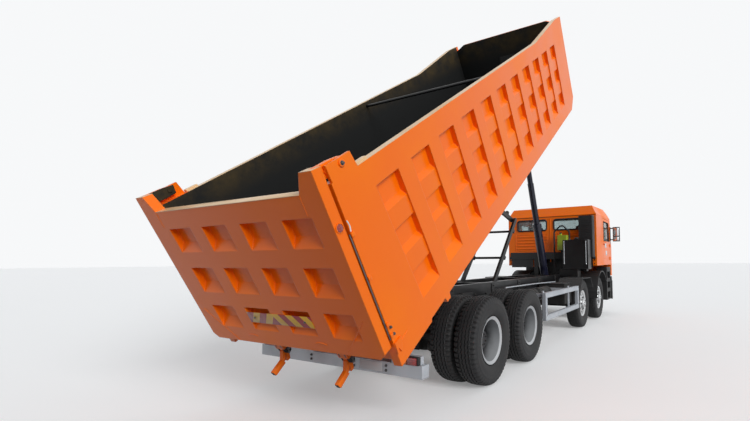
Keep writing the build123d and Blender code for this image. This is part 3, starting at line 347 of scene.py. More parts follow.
def make_shade_painted_rim(name, axle_x, axle_z):
    """Silver towards the outer rim; near-black painted shade over the hub and over the twin rim's disc deep
    inside the dish.
    """
    material, tree, shader = new_material(name)
    finish = shared_finish(tree, (0.50, 0.515, 0.53), (0.42, 0.435, 0.45), (0.62, 0.63, 0.64),
                           dust_amount=0.05, low_dust=0.08, edge_radius=0.004)
    where = on_object(tree)
    split = place(tree, "ShaderNodeSeparateXYZ", {0: where}).outputs
    across = maths(tree, "ABSOLUTE", split["Y"])
    ahead = maths(tree, "SUBTRACT", split["X"], axle_x)
    above = maths(tree, "SUBTRACT", split["Z"], axle_z)
    reach = maths(tree, "ADD", maths(tree, "MULTIPLY", ahead, ahead), maths(tree, "MULTIPLY", above, above))
    beyond_hub = step(tree, reach, 0.125 ** 2, 0.135 ** 2)
    shade_edge_wobble = maths(tree, "MULTIPLY", noise(tree, where, 7.0, 4.0, 0.65), 0.10)
    unshaded_outer = step(tree, maths(tree, "ADD", across, maths(tree, "SUBTRACT", shade_edge_wobble, 0.05)), 0.955, 1.150)
    unshaded_outer = maths(tree, "MULTIPLY", unshaded_outer, beyond_hub)
    set_sockets(tree, shader, {
        # The near-black colour is painted shade in the dish; the silver is the rim's own finish.
        "Base Color": blended(tree, unshaded_outer, (0.016, 0.016, 0.018), finish["Color"]),
        "Roughness": finish["Roughness"], "Normal": finish["Normal"], "Metallic": 0.3})
    return material


def bumped(tree, height, strength):
    """A small relief, 2 mm deep."""
    inputs = {"Strength": strength, "Distance": 0.002, "Height": height}
    return place(tree, "ShaderNodeBump", inputs).outputs[0]


def make_rubber(name, colour, dust, dust_amount):
    material, tree, shader = new_material(name)
    where = on_object(tree)
    patches = step(tree, noise(tree, where, 4.5, 5.0, 0.65), 0.35, 0.75)
    grain = noise(tree, where, 260.0, 3.0, 0.6)
    set_sockets(tree, shader, {
        "Base Color": blended(tree, maths(tree, "MULTIPLY", patches, dust_amount), colour, dust),
        "Roughness": maths(tree, "ADD", 0.62, maths(tree, "MULTIPLY", grain, 0.25)),
        "Normal": bumped(tree, grain, 0.35)})
    return material


def make_glass(name, tint, film):
    material, tree, shader = new_material(name)
    haze = step(tree, noise(tree, on_object(tree), 2.4, 5.0, 0.7), 0.45, 0.8)
    set_sockets(tree, shader, {
        "Base Color": blended(tree, haze, tint, film), "Transmission Weight": 0.92, "IOR": 1.3,
        "Roughness": maths(tree, "ADD", 0.03, maths(tree, "MULTIPLY", haze, 0.10))})
    return material


def make_lens(name, colour, deep):
    """A lamp lens with small ribs behind its clear face."""
    material, tree, shader = new_material(name)
    ribs = place(tree, "ShaderNodeTexVoronoi", {"Vector": on_object(tree), "Scale": 90.0}).outputs["Distance"]
    set_sockets(tree, shader, {
        "Base Color": blended(tree, step(tree, ribs, 0.1, 0.6), colour, deep), "Roughness": 0.12,
        "Coat Weight": 1.0, "Normal": bumped(tree, ribs, 0.4)})
    return material


def make_seat_cloth():
    material, tree, shader = new_material("seat_cloth")
    where = on_object(tree)
    threads = [place(tree, "ShaderNodeTexWave", {"Vector": where, "Scale": 130.0, "Distortion": 0.4},
                     wave_type="BANDS", bands_direction=way).outputs["Fac"] for way in ("X", "Z")]
    weave = maths(tree, "MULTIPLY", *threads)
    set_sockets(tree, shader, {
        "Base Color": blended(tree, weave, (0.035, 0.036, 0.040), (0.090, 0.092, 0.10)),
        "Roughness": 0.9, "Sheen Weight": 0.3, "Normal": bumped(tree, weave, 0.5)})
    return material


STRIPE_PITCH = 0.200
STRIPE_SLANT = 0.75


def make_hazard_stripes():
    """Red and yellow stripes that lean towards the middle of the plate from both sides."""
    material, tree, shader = new_material("hazard_stripes")
    axes = place(tree, "ShaderNodeGroup", node_tree=bed_axes).outputs
    position = maths(tree, "ADD", axes["Across"], maths(tree, "MULTIPLY", axes["Gate Up"], STRIPE_SLANT))
    phase = maths(tree, "FRACT", maths(tree, "DIVIDE", position, STRIPE_PITCH))
    wear = step(tree, noise(tree, on_object(tree), 14.0, 5.0, 0.7), 0.45, 0.8)
    bright = blended(tree, wear, (0.72, 0.40, 0.015), (0.55, 0.36, 0.06))
    deep = blended(tree, wear, (0.30, 0.012, 0.028), (0.20, 0.02, 0.03))
    set_sockets(tree, shader, {
        "Base Color": blended(tree, maths(tree, "GREATER_THAN", phase, 0.5), bright, deep),
        "Roughness": maths(tree, "ADD", 0.3, maths(tree, "MULTIPLY", wear, 0.3))})
    return material


FLOOR_GLOW = 0.20


def make_floor_material():
    material, tree, shader = new_material("studio_floor")
    mottle = noise(tree, on_object(tree), 0.9, 4.0, 0.6)
    seen = seen_directly(tree)
    pale = blended(tree, mottle, (0.80, 0.805, 0.81), (0.84, 0.845, 0.85))
    set_sockets(tree, shader, {
        "Base Color": blended(tree, seen, (0.16, 0.16, 0.17), pale), "Roughness": 0.75,
        "Emission Color": (1.0, 1.0, 1.0, 1.0),
        "Emission Strength": maths(tree, "MULTIPLY", seen, FLOOR_GLOW)})
    return material


# Shapes

def finished(shape, name, body, slot, look=None, sharp_angle=35.0):
    """Turns a bmesh into a named piece on a body, in its slot's own look or another."""
    mesh = bpy.data.meshes.new(name)
    bmesh.ops.recalc_face_normals(shape, faces=shape.faces)
    shape.to_mesh(mesh)
    shape.free()
    mesh.shade_smooth()
    mesh.set_sharp_from_angle(angle=math.radians(sharp_angle))
    piece = bpy.data.objects.new(name, mesh)
    bpy.context.scene.collection.objects.link(piece)
    mesh.materials.append(looks[look or slot_look[slot]])
    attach(piece, body)
    return piece


def axes_from(direction, upward=(0.0, 0.0, 1.0)):
    """A rotation whose Z is the direction and whose Y is as near to upward as it can be."""
    z_axis = Vector(direction).normalized()
    hint = Vector(upward)
    if abs(z_axis.dot(hint)) > 0.98:
        hint = Vector((1.0, 0.0, 0.0))
    x_axis = hint.cross(z_axis).normalized()
    y_axis = z_axis.cross(x_axis)
    return Matrix((x_axis, y_axis, z_axis)).transposed().to_4x4()


BED_TURN = Matrix((BED_ALONG, Vector((0.0, 1.0, 0.0)), BED_UP)).transposed().to_4x4()
GATE_TURN = Matrix((GATE_ALONG, Vector((0.0, 1.0, 0.0)), GATE_UP)).transposed().to_4x4()


def edges_of(verts):
    """Every edge at these corners, once each."""
    return list(dict.fromkeys(edge for vert in verts for edge in vert.link_edges))


def block(shape, centre, size, rounding=0.0, turn=None):
    """A box with rounded edges; turn is a rotation matrix."""
    matrix = Matrix.Translation(Vector(centre)) @ (turn or Matrix.Identity(4)) @ Matrix.Diagonal((*size, 1.0))
    made = bmesh.ops.create_cube(shape, size=1.0, matrix=matrix)
    if rounding:
        edges = edges_of(made["verts"])
        bmesh.ops.bevel(shape, geom=edges, offset=rounding, segments=2, profile=0.5, affect="EDGES")


def rod(shape, start, end, radius, sides=18, end_radius=None, rounding=0.0):
    start, end = Vector(start), Vector(end)
    length = (end - start).length
    matrix = Matrix.Translation((start + end) / 2) @ axes_from(end - start)
    top = radius if end_radius is None else end_radius
    made = bmesh.ops.create_cone(shape, cap_ends=True, segments=sides, radius1=radius, radius2=top,
                                 depth=length, matrix=matrix)
    if rounding:
        rims = [edge for edge in edges_of(made["verts"]) if len(edge.link_faces) == 2
                and max(len(face.verts) for face in edge.link_faces) > 4]
        bmesh.ops.bevel(shape, geom=rims, offset=rounding, segments=2, profile=0.5, affect="EDGES")


def plate(shape, corners, thickness):
    """A flat plate from its corners in order and the way to its other face."""
    near = [shape.verts.new(Vector(corner)) for corner in corners]
    far = [shape.verts.new(Vector(corner) + Vector(thickness)) for corner in corners]
    shape.faces.new(near)
    shape.faces.new(far[::-1])
    for index in range(len(near)):
        following = (index + 1) % len(near)
        shape.faces.new((near[index], far[index], far[following], near[following]))


def bolt(shape, place_on, direction, size):
    """A hexagon head on a washer; size is the width across the head's corners."""
    spot = Vector(place_on)
    out = Vector(direction).normalized()
    rod(shape, spot - out * 0.001, spot + out * size * 0.10, size * 0.72, sides=16)
    rod(shape, spot + out * size * 0.10, spot + out * size * 0.55, size * 0.5, sides=6, rounding=size * 0.04)
    rod(shape, spot + out * size * 0.55, spot + out * size * 0.78, size * 0.26, sides=10)


def lathe(shape, outline, centre, axis, sides=48, closed=False):
    """Turns (distance along the axis, radius) points about an axis."""
    turn = axes_from(axis)
    rings = []
    for index in range(sides):
        angle = 2.0 * math.pi * index / sides
        ring = []
        for along, radius in outline:
            spot = Vector((radius * math.cos(angle), radius * math.sin(angle), along))
            ring.append(shape.verts.new(Vector(centre) + turn @ spot))
        rings.append(ring)
    count = len(outline)
    last = count if closed else count - 1
    for index in range(sides):
        here, there = rings[index], rings[(index + 1) % sides]
        for row in range(last):
            following = (row + 1) % count
            shape.faces.new((here[row], there[row], there[following], here[following]))
    if not closed:
        shape.faces.new([ring[0] for ring in rings])
        shape.faces.new([ring[-1] for ring in reversed(rings)])


def pipe(name, points, radius, body, slot, look=None, smooth=True, sides=4):
    """A bent tube through points, as a curve with a round section."""
    data = bpy.data.curves.new(name, "CURVE")
    data.dimensions = "3D"
    data.bevel_depth = radius
    data.bevel_resolution = sides
    data.use_fill_caps = True
    spline = data.splines.new("NURBS" if smooth else "POLY")
    spline.points.add(len(points) - 1)
    for point, control in zip(points, spline.points):
        control.co = (*point, 1.0)
    if smooth:
        spline.order_u = 3
        spline.use_endpoint_u = True
        spline.resolution_u = 6
    piece = bpy.data.objects.new(name, data)
    bpy.context.scene.collection.objects.link(piece)
    data.materials.append(looks[look or slot_look[slot]])
    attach(piece, body)
    return piece


def boxes(name, body, slot, rows, look=None):
    """One piece of boxes, each with its middle, size, rounding and, if turned, its turn."""
    shape = bmesh.new()
    for row in rows:
        block(shape, *row)
    return finished(shape, name, body, slot, look)


STATION_ZERO = -2.776


def x_at(station):
    """X of a place that many metres in front of the rearmost axle."""
    return STATION_ZERO + station


def upright(shape, station, y, low, high, radius, sides):
    rod(shape, (x_at(station), y, low), (x_at(station), y, high), radius, sides)


def disc_spot(centre, radius, index, count, start=0.0):
    """A point of a ring about a wheel's axle; start is a share of the pitch."""
    angle = 2.0 * math.pi * (index + start) / count
    return Vector((centre.x + radius * math.cos(angle), centre.y, centre.z + radius * math.sin(angle)))


def wheels():
    """Each wheel's name, sign across, whether it is a twin, tyre node, body and the node's corners."""
    for side, sign in SIDES:
        for axle in (1, 2, 3, 4):
            twin = axle > 2
            wheel = side + "_" + str(axle)
            node = ("tyres_" if twin else "tyre_") + wheel
            yield wheel, sign, twin, node, ("wheels_" if twin else "wheel_") + wheel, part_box(node)


# Tyres

TREAD_PITCHES = 54
GROOVE_DEPTH = 0.020
TYRE_WIDTH = 0.300
# across from the middle, depth below the crown, groove and zigzag share
# a groove is 0 for none, 1 for one round the tyre, 2 for a side notch
tread_rows = (
    (0.000, 0.000, 0, 0.0), (0.017, 0.000, 0, 1.0), (0.020, 0.000, 1, 1.0), (0.029, 0.000, 1, 1.0),
    (0.032, 0.000, 0, 1.0), (0.060, 0.002, 0, 1.0), (0.063, 0.002, 1, 1.0), (0.073, 0.002, 1, 1.0),
    (0.076, 0.003, 0, 1.0), (0.088, 0.005, 2, 0.0), (0.112, 0.010, 2, 0.0), (0.132, 0.020, 2, 0.0),
    (0.140, 0.034, 2, 0.0), (0.1435, 0.050, 2, 0.0), (0.1445, 0.062, 0, 0.0), (0.1465, 0.085, 0, 0.0),
    (0.1495, 0.090, 0, 0.0), (0.1500, 0.098, 0, 0.0), (0.1485, 0.104, 0, 0.0), (0.1490, 0.130, 0, 0.0),
    (0.1480, 0.165, 0, 0.0), (0.1400, 0.205, 0, 0.0), (0.1350, 0.212, 0, 0.0), (0.1280, 0.232, 0, 0.0),
    (0.1120, 0.250, 0, 0.0), (0.1060, 0.252, 0, 0.0), (0.0980, 0.268, 0, 0.0), (0.0930, 0.277, 0, 0.0),
)
# place within one pitch, how deep the side notch is there, zigzag
tread_columns = ((0.00, 0.0, 1.0), (0.05, 1.0, 0.6), (0.33, 1.0, -0.6), (0.38, 0.0, -1.0), (0.70, 0.0, -0.3))
ZIGZAG = 0.006


def tyre_into(shape, centre, radius):
    """One tyre with grooves round it and notches in its shoulders."""
    whole = [(-across, drop, groove, -swing) for across, drop, groove, swing in reversed(tread_rows[1:])]
    whole += list(tread_rows)
    rings = []
    for pitch in range(TREAD_PITCHES):
        for share, notch, zigzag in tread_columns:
            angle = 2.0 * math.pi * (pitch + share) / TREAD_PITCHES
            ring = []
            for across, drop, groove, swing in whole:
                side_shift = share + (0.5 if across < 0 else 0.0)
                local_notch = notch if across > 0 else (1.0 if 0.55 < side_shift % 1.0 < 0.90 else 0.0)
                depth = GROOVE_DEPTH if groove == 1 else GROOVE_DEPTH * local_notch * (groove == 2)
                here = radius - drop - depth
                offset = abs(swing) * zigzag * ZIGZAG
                ring.append(shape.verts.new((centre.x + here * math.cos(angle), centre.y + across + offset,
                                             centre.z + here * math.sin(angle))))
            rings.append(ring)
    count = len(whole)
    for index, here in enumerate(rings):
        there = rings[(index + 1) % len(rings)]
        for row in range(count):
            following = (row + 1) % count
            shape.faces.new((here[row], here[following], there[following], there[row]))


def make_tyres():
    for _, _, twin, node, body, (low, high) in wheels():
        middle = (low + high) / 2
        shape = bmesh.new()
        for y in [low.y + TYRE_WIDTH / 2, high.y - TYRE_WIDTH / 2] if twin else [middle.y]:
            tyre_into(shape, Vector((middle.x, y, middle.z)), (high.z - low.z) / 2)
        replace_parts(finished(shape, "treaded_" + node, body, "tyre_rubber", sharp_angle=30.0), node)


# Wheel fittings

NUT_COUNT = 10
CAP_BOLT_COUNT = 8
# outer face and circle of the wheel nuts, outer face of the hub cap
TWIN_NUTS = (0.941, 0.167, 1.092)
SINGLE_NUTS = (1.116, 0.140, 1.185)


def make_wheel_nuts():
    for wheel, sign, twin, _, body, (low, high) in wheels():
        middle = (low + high) / 2
        face, circle, cap_face = TWIN_NUTS if twin else SINGLE_NUTS
        out = Vector((0.0, sign, 0.0))
        shape = bmesh.new()
        for index in range(NUT_COUNT):
            middle.y = sign * face
            bolt(shape, disc_spot(middle, circle, index, NUT_COUNT), out, 0.038)
        for index in range(CAP_BOLT_COUNT):
            middle.y = sign * cap_face
            bolt(shape, disc_spot(middle, 0.068, index, CAP_BOLT_COUNT, 0.5), out, 0.018)
        finished(shape, "wheel_nuts_" + wheel, body, "cast_dark", None if twin else "zinc")


# Tailgate fittings

def make_hazard_plate():
    shape = bmesh.new()
    middle_up = GATE_BOTTOM + 0.336
    block(shape, gate_point(-0.0025, -0.059, middle_up), (0.004, 0.912, 0.124), 0.001, GATE_TURN)
    finished(shape, "hazard_plate", "tailgate", "orange", "hazard_stripes")
    heads = bmesh.new()
    for across in (0.30, -0.42):
        bolt(heads, gate_point(-0.004, across, middle_up), -GATE_ALONG, 0.016)
    finished(heads, "hazard_plate_bolts", "tailgate", "cast_dark", "zinc")


HOOK_ACROSS = 0.475
HOOK_ARC_ACROSS = 0.495


def make_tailgate_trim():
    """Pale strips on the upper edges as painted highlight, seams of the corner gussets and the short arcs
    above the hooks.
    """
    mid_sheet = GATE_SHEET / 2
    rows = [(gate_point(mid_sheet, 0.0, GATE_TOP + 0.002), (0.104, 2.030, 0.005), 0.001, GATE_TURN)]
    rows += [(gate_point(mid_sheet, sign * 1.170, GATE_EAR + 0.001), (0.100, 0.130, 0.003), 0.001, GATE_TURN)
             for _, sign in SIDES]
    boxes("tailgate_edge_highlight_strips", "tailgate", "orange", rows, "painted_edge_highlight")
    for side, sign in SIDES:
        arc = []
        for index in range(9):
            share = index / 8.0
            rise = 0.034 * math.sin(math.pi * (0.18 + 0.64 * share))
            arc.append((sign * HOOK_ARC_ACROSS + 0.075 - 0.150 * share, 0.238 + rise))
        for name, radius, spots in (
                ("gusset_seam_", 0.004, ((sign * 1.140, 0.560), (sign * 0.780, GATE_BOTTOM + 0.004))),
                ("ear_seam_", 0.003, ((sign * 1.020, GATE_TOP), (sign * 1.020, 1.520))),
                ("hook_arc_", 0.006, arc)):
            points = [gate_point(0.0, across, up) for across, up in spots]
            pipe(name + side, points, radius, "tailgate", "orange", smooth=False, sides=2)


PIVOT_INWARD = 0.284
PIVOT_UP = 1.813
BOLT_FACE = 1.262


def make_pivot_fittings():
    for side, sign in SIDES:
        shape = bmesh.new()
        for inward, across, up, length, radius in (
                (PIVOT_INWARD, BED_HALF_WIDTH, PIVOT_UP, 0.012, 0.030),
                (0.150, 1.212, 1.800, 0.014, 0.026)):
            start = gate_point(inward, sign * across, up)
            rod(shape, start, start + Vector((0.0, sign * length, 0.0)), radius, 24, rounding=0.003)
        finished(shape, "pivot_pins_" + side, "tailgate", "orange")
        heads = bmesh.new()
        bolt(heads, gate_point(PIVOT_INWARD, sign * BOLT_FACE, PIVOT_UP), (0.0, sign, 0.0), 0.026)
        finished(heads, "pivot_bolts_" + side, "bed", "cast_dark", "zinc")


def make_side_markers():
    for side, sign in SIDES:
        out = Vector((0.0, sign, 0.0))
        middle = gate_point(0.050, sign * 1.236, 1.384)
        lens = bmesh.new()
        lathe(lens, ((0.000, 0.033), (0.005, 0.033), (0.010, 0.024), (0.012, 0.001)), middle, out, 24)
        finished(lens, "side_marker_" + side, "tailgate", "orange", "red_lens")
        ring = bmesh.new()
        lathe(ring, ((-0.001, 0.033), (-0.001, 0.040), (0.007, 0.040), (0.007, 0.033)), middle, out, 24, True)
        finished(ring, "side_marker_rim_" + side, "tailgate", "orange")
        arc = []
        for index in range(7):
            inward = 0.128 + 0.010 * math.sin(math.pi * index / 6.0)
            arc.append(gate_point(inward, sign * BED_HALF_WIDTH, 1.318 + 0.0155 * index))
        pipe("side_reflector_" + side, arc, 0.006, "bed", "orange", "white_plate", smooth=False, sides=2)


LOCK_LUG = ((0.126, 0.250), (0.118, 0.140), (0.150, 0.185), (0.172, 0.128), (0.205, 0.190), (0.225, 0.255))


def make_side_locks():
    """Long lock rods in the gaps beside the tailgate, their guides and the pointed lugs at the corners."""
    for side, sign in SIDES:
        rod_shape = bmesh.new()
        low_end, high_end = (gate_point(0.111, sign * 1.243, up) for up in (0.300, 1.300))
        rod(rod_shape, low_end, high_end, 0.006, 12)
        finished(rod_shape, "lock_rod_" + side, "bed", "cast_dark", "zinc")
        guides = bmesh.new()
        for up in (0.330, 0.440, 0.900, 1.290):
            block(guides, gate_point(0.134, sign * 1.256, up), (0.036, 0.014, 0.040), 0.003, GATE_TURN)
        lug = [gate_point(inward, sign * BED_HALF_WIDTH, up) for inward, up in LOCK_LUG]
        plate(guides, lug, Vector((0.0, sign * 0.016, 0.0)))
        finished(guides, "lock_guides_" + side, "bed", "orange")
        weld = [gate_point(inward, sign * BED_HALF_WIDTH, up)
                for inward, up in ((0.229, 0.206), (0.342, 0.231))]
        pipe("corner_weld_" + side, weld, 0.006, "bed", "orange", smooth=False, sides=2)
        for index, (inward, up) in enumerate(((0.150, 0.405), (0.160, 0.330))):
            head = bmesh.new()
            bolt(head, gate_point(inward, sign * BOLT_FACE, up), (0.0, sign, 0.0), 0.020)
            finished(head, "lock_bolt_" + str(index + 1) + "_" + side, "bed", "cast_dark", "zinc")


HOOK_CHEEK = ((-0.885, 0.100), (-0.770, 0.100), (-0.775, 0.010), (-0.800, -0.060), (-0.840, -0.075),
              (-0.875, -0.030))
HOOK_NECK = ((-0.880, -0.010), (-0.850, -0.010), (-0.905, -0.105), (-0.935, -0.120), (-0.945, -0.100),
             (-0.905, -0.050))


def make_hook_fittings():
    """Black bracket cheeks with their bolts beside each lower hook, and the hook's orange handle."""
    handle_way = bed_point(-1.080, 0.0, -0.140) - bed_point(-0.925, 0.0, -0.112)
    lean = axes_from(handle_way, BED_UP)
    for side, sign in SIDES:
        middle = sign * HOOK_ACROSS
        cheeks = bmesh.new()
        heads = bmesh.new()
        for across in (-0.046, 0.034):
            cheek = [bed_point(along, middle + across, up) for along, up in HOOK_CHEEK]
            plate(cheeks, cheek, Vector((0.0, 0.012, 0.0)))
        for along, up in ((-0.820, -0.020), (-0.835, -0.052)):
            for way in (1.0, -1.0):
                bolt(heads, bed_point(along, middle + way * 0.046, up), (0.0, way, 0.0), 0.024)
        finished(cheeks, "hook_cheeks_" + side, "bed", "black_metal")
        finished(heads, "hook_bolts_" + side, "bed", "cast_dark", "zinc")
        handle = bmesh.new()
        neck = [bed_point(along, middle - 0.027, up) for along, up in HOOK_NECK]
        plate(handle, neck, Vector((0.0, 0.054, 0.0)))
        grip = bed_point(-1.005, middle, -0.127)
        block(handle, grip, (0.056, 0.058, 0.165), 0.010, lean)
        finished(handle, "hook_handle_" + side, "bed", "orange")
        boxes("hook_handle_end_" + side, "bed", "cast_dark", [
            (grip + handle_way * 0.524, (0.040, 0.042, 0.004), 0.001, lean)])


def strip_along(shape, points, across, half_width, lift):
    """A thin flat strip that follows the bed's upper edge."""
    for (along, up), (next_along, next_up) in zip(points, points[1:]):
        start, end = bed_point(along, across, up), bed_point(next_along, across, next_up)
        middle = (start + end) / 2
        turn = axes_from(end - start, BED_UP)
        rise = turn.to_3x3() @ Vector((0.0, 1.0, 0.0))
        block(shape, middle + rise * lift, (2 * half_width, 0.004, (end - start).length), turn=turn)


def make_bed_edges():
    for side, sign in SIDES:
        shape = bmesh.new()
        # Pale strips along the top edge and at the front corner, and the small bracket near the hinge, in a
        # painted highlight colour.
        points = ((-0.430, BED_TOP_UP), (BED_FRONT - 1.950, BED_TOP_UP),
                  (BED_FRONT - 0.420, BED_FRONT_TOP_UP - 0.001), (BED_FRONT, BED_FRONT_TOP_UP - 0.001))
        strip_along(shape, points, sign * 1.206, 0.043, 0.0018)
        block(shape, bed_point(-0.360, sign * 1.215, BED_TOP_UP + 0.014), (0.140, 0.050, 0.028), 0.004,
              BED_TURN)
        block(shape, bed_point(BED_FRONT + 0.003, sign * 1.243, 1.135), (0.006, 0.012, 1.620), turn=BED_TURN)
        finished(shape, "bed_edge_highlight_strips_" + side, "bed", "orange", "painted_edge_highlight")
        dark = bmesh.new()
        block(dark, bed_point(BED_FRONT + 0.003, sign * 1.225, 1.135), (0.006, 0.022, 1.620), turn=BED_TURN)
        block(dark, bed_point(6.580, sign * 0.950, 0.200), (0.220, 0.300, 0.260), 0.006, BED_TURN)
        finished(dark, "bed_front_boxes_" + side, "bed", "black_metal")


def make_floor_ribs():
    """Stiffening ribs and small blocks below the bed's floor."""
    shape = bmesh.new()
    for sign in (1.0, -1.0):
        for index in range(12):
            along = -0.55 + index * 0.585
            block(shape, bed_point(along, sign * 0.750, 0.292), (0.014, 0.560, 0.080), 0.002, BED_TURN)
        for along in (0.02, 1.62, 3.22, 4.82):
            block(shape, bed_point(along, sign * 1.120, 0.200), (0.060, 0.070, 0.060), 0.004, BED_TURN)
    finished(shape, "floor_ribs", "bed", "orange")


# Cab fittings

CAB_REAR_X = 3.574
REAR_WINDOW_ACROSS = 0.530
DOOR_FACE = 1.2405
PATCH_FACE = 1.2415
MIRROR_ACROSS = 1.430
HEADLAMP_UP = 0.720


def rounded_rectangle(width, height, radius, steps=6):
    """Corner points of a rounded rectangle about its middle, counter-clockwise."""
    points = []
    across, up = width / 2 - radius, height / 2 - radius
    for x, y, start in ((across, up, 0.0), (-across, up, 90.0), (-across, -up, 180.0), (across, -up, 270.0)):
        for index in range(steps + 1):
            angle = math.radians(start + 90.0 * index / steps)
            points.append((x + radius * math.cos(angle), y + radius * math.sin(angle)))
    return points


def make_window_seals():
    for side, sign in SIDES:
        points = [Vector((CAB_REAR_X - 0.002, sign * REAR_WINDOW_ACROSS + y, 2.550 + z))
                  for y, z in rounded_rectangle(0.850, 0.290, 0.060)]
        points.append(points[0])
        pipe("rear_window_seal_" + side, points, 0.020, "cab", "hose_rubber", smooth=False)
        window = ((7.290, 2.120), (8.080, 2.120), (7.985, 2.650), (7.290, 2.660), (7.290, 2.120))
        points = [Vector((x_at(station), sign * DOOR_FACE, z)) for station, z in window]
        pipe("door_window_seal_" + side, points, 0.012, side + "_door", "hose_rubber", smooth=False)
    glass_edge = ((8.374, 1.080, 2.110), (8.2145, 1.080, 2.890), (8.2145, -1.080, 2.890),
                  (8.374, -1.080, 2.110), (8.374, 1.080, 2.110))
    points = [Vector((x_at(station) + 0.004, y, z)) for station, y, z in glass_edge]
    pipe("windscreen_seal", points, 0.016, "cab", "hose_rubber", smooth=False)


def make_cab_rear_fittings():
    shape = bmesh.new()
    for sign in (1.0, -1.0):
        block(shape, (CAB_REAR_X - 0.006, sign * 1.150, 1.640), (0.016, 0.120, 0.070), 0.004)
        for z in (1.480, 1.580):
            bolt(shape, (CAB_REAR_X - 0.001, sign * 1.180, z), (-1.0, 0.0, 0.0), 0.022)
    finished(shape, "cab_rear_brackets", "cab", "black_metal")
    lines = bmesh.new()
    for sign in (1.0, -1.0):
        for z in (1.845, 2.300):
            block(lines, (CAB_REAR_X - 0.003, sign * REAR_WINDOW_ACROSS, z), (0.010, 0.900, 0.012), 0.003)
        block(lines, (CAB_REAR_X - 0.003, sign * 1.020, 2.070), (0.010, 0.016, 0.470), 0.003)
    block(lines, (CAB_REAR_X - 0.003, 0.0, 2.120), (0.010, 0.018, 1.200), 0.003)
    finished(lines, "cab_rear_ribs", "cab", "orange")
    seam = bmesh.new()
    block(seam, (CAB_REAR_X + 0.006, 0.0, 2.771), (0.020, 2.440, 0.010), 0.002)
    finished(seam, "roof_seam", "cab", "hose_rubber")


def make_door_fittings():
    for side, sign in SIDES:
        door = side + "_door"
        boxes("blank_patches_" + side, door, "orange", [
            ((x_at(station), sign * PATCH_FACE, z), size, 0.001)
            for station, z, size in ((7.560, 1.985, (0.230, 0.003, 0.120)),
                                     (7.640, 1.770, (0.180, 0.003, 0.130)))
        ], "white_plate")
        boxes("door_pressings_" + side, door, "orange", [
            ((x_at(7.690), sign * DOOR_FACE, z), (0.860, 0.004, height), 0.001)
            for z, height in ((1.620, 0.014), (2.070, 0.012))])
        boxes("door_handle_" + side, door, "black_plastic", [
            ((x_at(7.310), sign * 1.2645, 2.020), (0.120, 0.006, 0.022), 0.002)])


def make_mirror_fittings():
    for side, sign in SIDES:
        across = sign * MIRROR_ACROSS
        boxes("mirror_glass_" + side, "cab", "bright_stage", [
            ((x_at(8.194), across, z), (0.004, 0.160, height), 0.001)
            for z, height in ((2.410, 0.240), (2.205, 0.110))], "mirror_silver")
        boxes("mirror_trim_" + side, "cab", "black_plastic", [
            ((x_at(8.240), across, 2.300), (0.094, 0.194, 0.010), 0.003),
            ((x_at(8.250), sign * 1.252, 2.350), (0.060, 0.020, 0.420), 0.004)])


def make_front_fittings():
    """Grille bars, lamps, wipers and a blank plate at the front, which the photograph doesn't show."""
    front = x_at(8.440)
    bars = [((front + 0.010, 0.0, 1.300 + index * 0.100), (0.020, 1.900, 0.050), 0.006) for index in range(6)]
    bars.append(((front + 0.005, 0.0, 1.550), (0.010, 2.000, 0.640), 0.003))
    boxes("grille_bars", "cab", "black_plastic", bars)
    bumper_front = x_at(8.467)
    for side, sign in SIDES:
        boxes("headlamp_bowl_" + side, "chassis", "bright_stage", [
            ((bumper_front + 0.001, sign * 0.980, HEADLAMP_UP), (0.003, 0.324, 0.184), 0.001)],
            "mirror_silver")
        clear = bmesh.new()
        for across in (0.910, 1.030):
            lathe(clear, ((0.002, 0.052), (0.005, 0.050), (0.007, 0.030), (0.0075, 0.001)),
                  (bumper_front, sign * across, HEADLAMP_UP), (1.0, 0.0, 0.0), 28)
        finished(clear, "headlamp_lenses_" + side, "chassis", "glass", "clear_lens")
        boxes("front_indicator_" + side, "chassis", "orange", [
            ((bumper_front + 0.004, sign * 1.118, HEADLAMP_UP), (0.006, 0.040, 0.150), 0.002)], "amber_lens")
        arm = [Vector((x_at(station), sign * across - 0.080, z))
               for station, across, z in ((8.385, 0.100, 2.090), (8.368, 0.420, 2.190),
                                          (8.340, 0.560, 2.330))]
        pipe("wiper_" + side, arm, 0.009, "cab", "black_plastic", smooth=False)
        boxes("roof_marker_" + side, "cab", "orange", [
            ((x_at(7.960), sign * 0.850, 3.078), (0.060, 0.110, 0.026), 0.008)], "amber_lens")
    boxes("bumper_grille", "chassis", "black_plastic", [
        ((x_at(8.468), 0.0, 0.505 + index * 0.028), (0.006, 1.090, 0.012), 0.002) for index in range(5)])
    boxes("blank_front_plate", "chassis", "orange", [
        ((x_at(8.476), 0.0, 0.800), (0.004, 0.520, 0.112), 0.001)], "white_plate")


# Seats

SEAT_ACROSS = 0.720


def cushion(shape, centre, size, bulge, turn=None):
    """A soft block whose faces swell between its rounded edges."""
    start = len(shape.verts)
    matrix = Matrix.Translation(Vector(centre)) @ (turn or Matrix.Identity(4))
    made = bmesh.ops.create_cube(shape, size=1.0)
    edges = edges_of(made["verts"])
    bmesh.ops.subdivide_edges(shape, edges=edges, cuts=9, use_grid_fill=True)
    shape.verts.ensure_lookup_table()
    for vert in shape.verts[start:]:
        spot = vert.co.copy()
        away = [1.0 - (2.0 * abs(value)) ** 4 for value in spot]
        pull = []
        for axis in range(3):
            first, second = (axis + 1) % 3, (axis + 2) % 3
            swell = bulge * max(0.0, away[first]) * max(0.0, away[second])
            corner = 1.0 - 0.10 * ((2.0 * abs(spot[first])) ** 6 + (2.0 * abs(spot[second])) ** 6) / 2.0
            outer = abs(spot[axis]) > 0.49
            pull.append(spot[axis] * size[axis] * corner + math.copysign(swell, spot[axis]) * outer)
        vert.co = matrix @ Vector(pull)


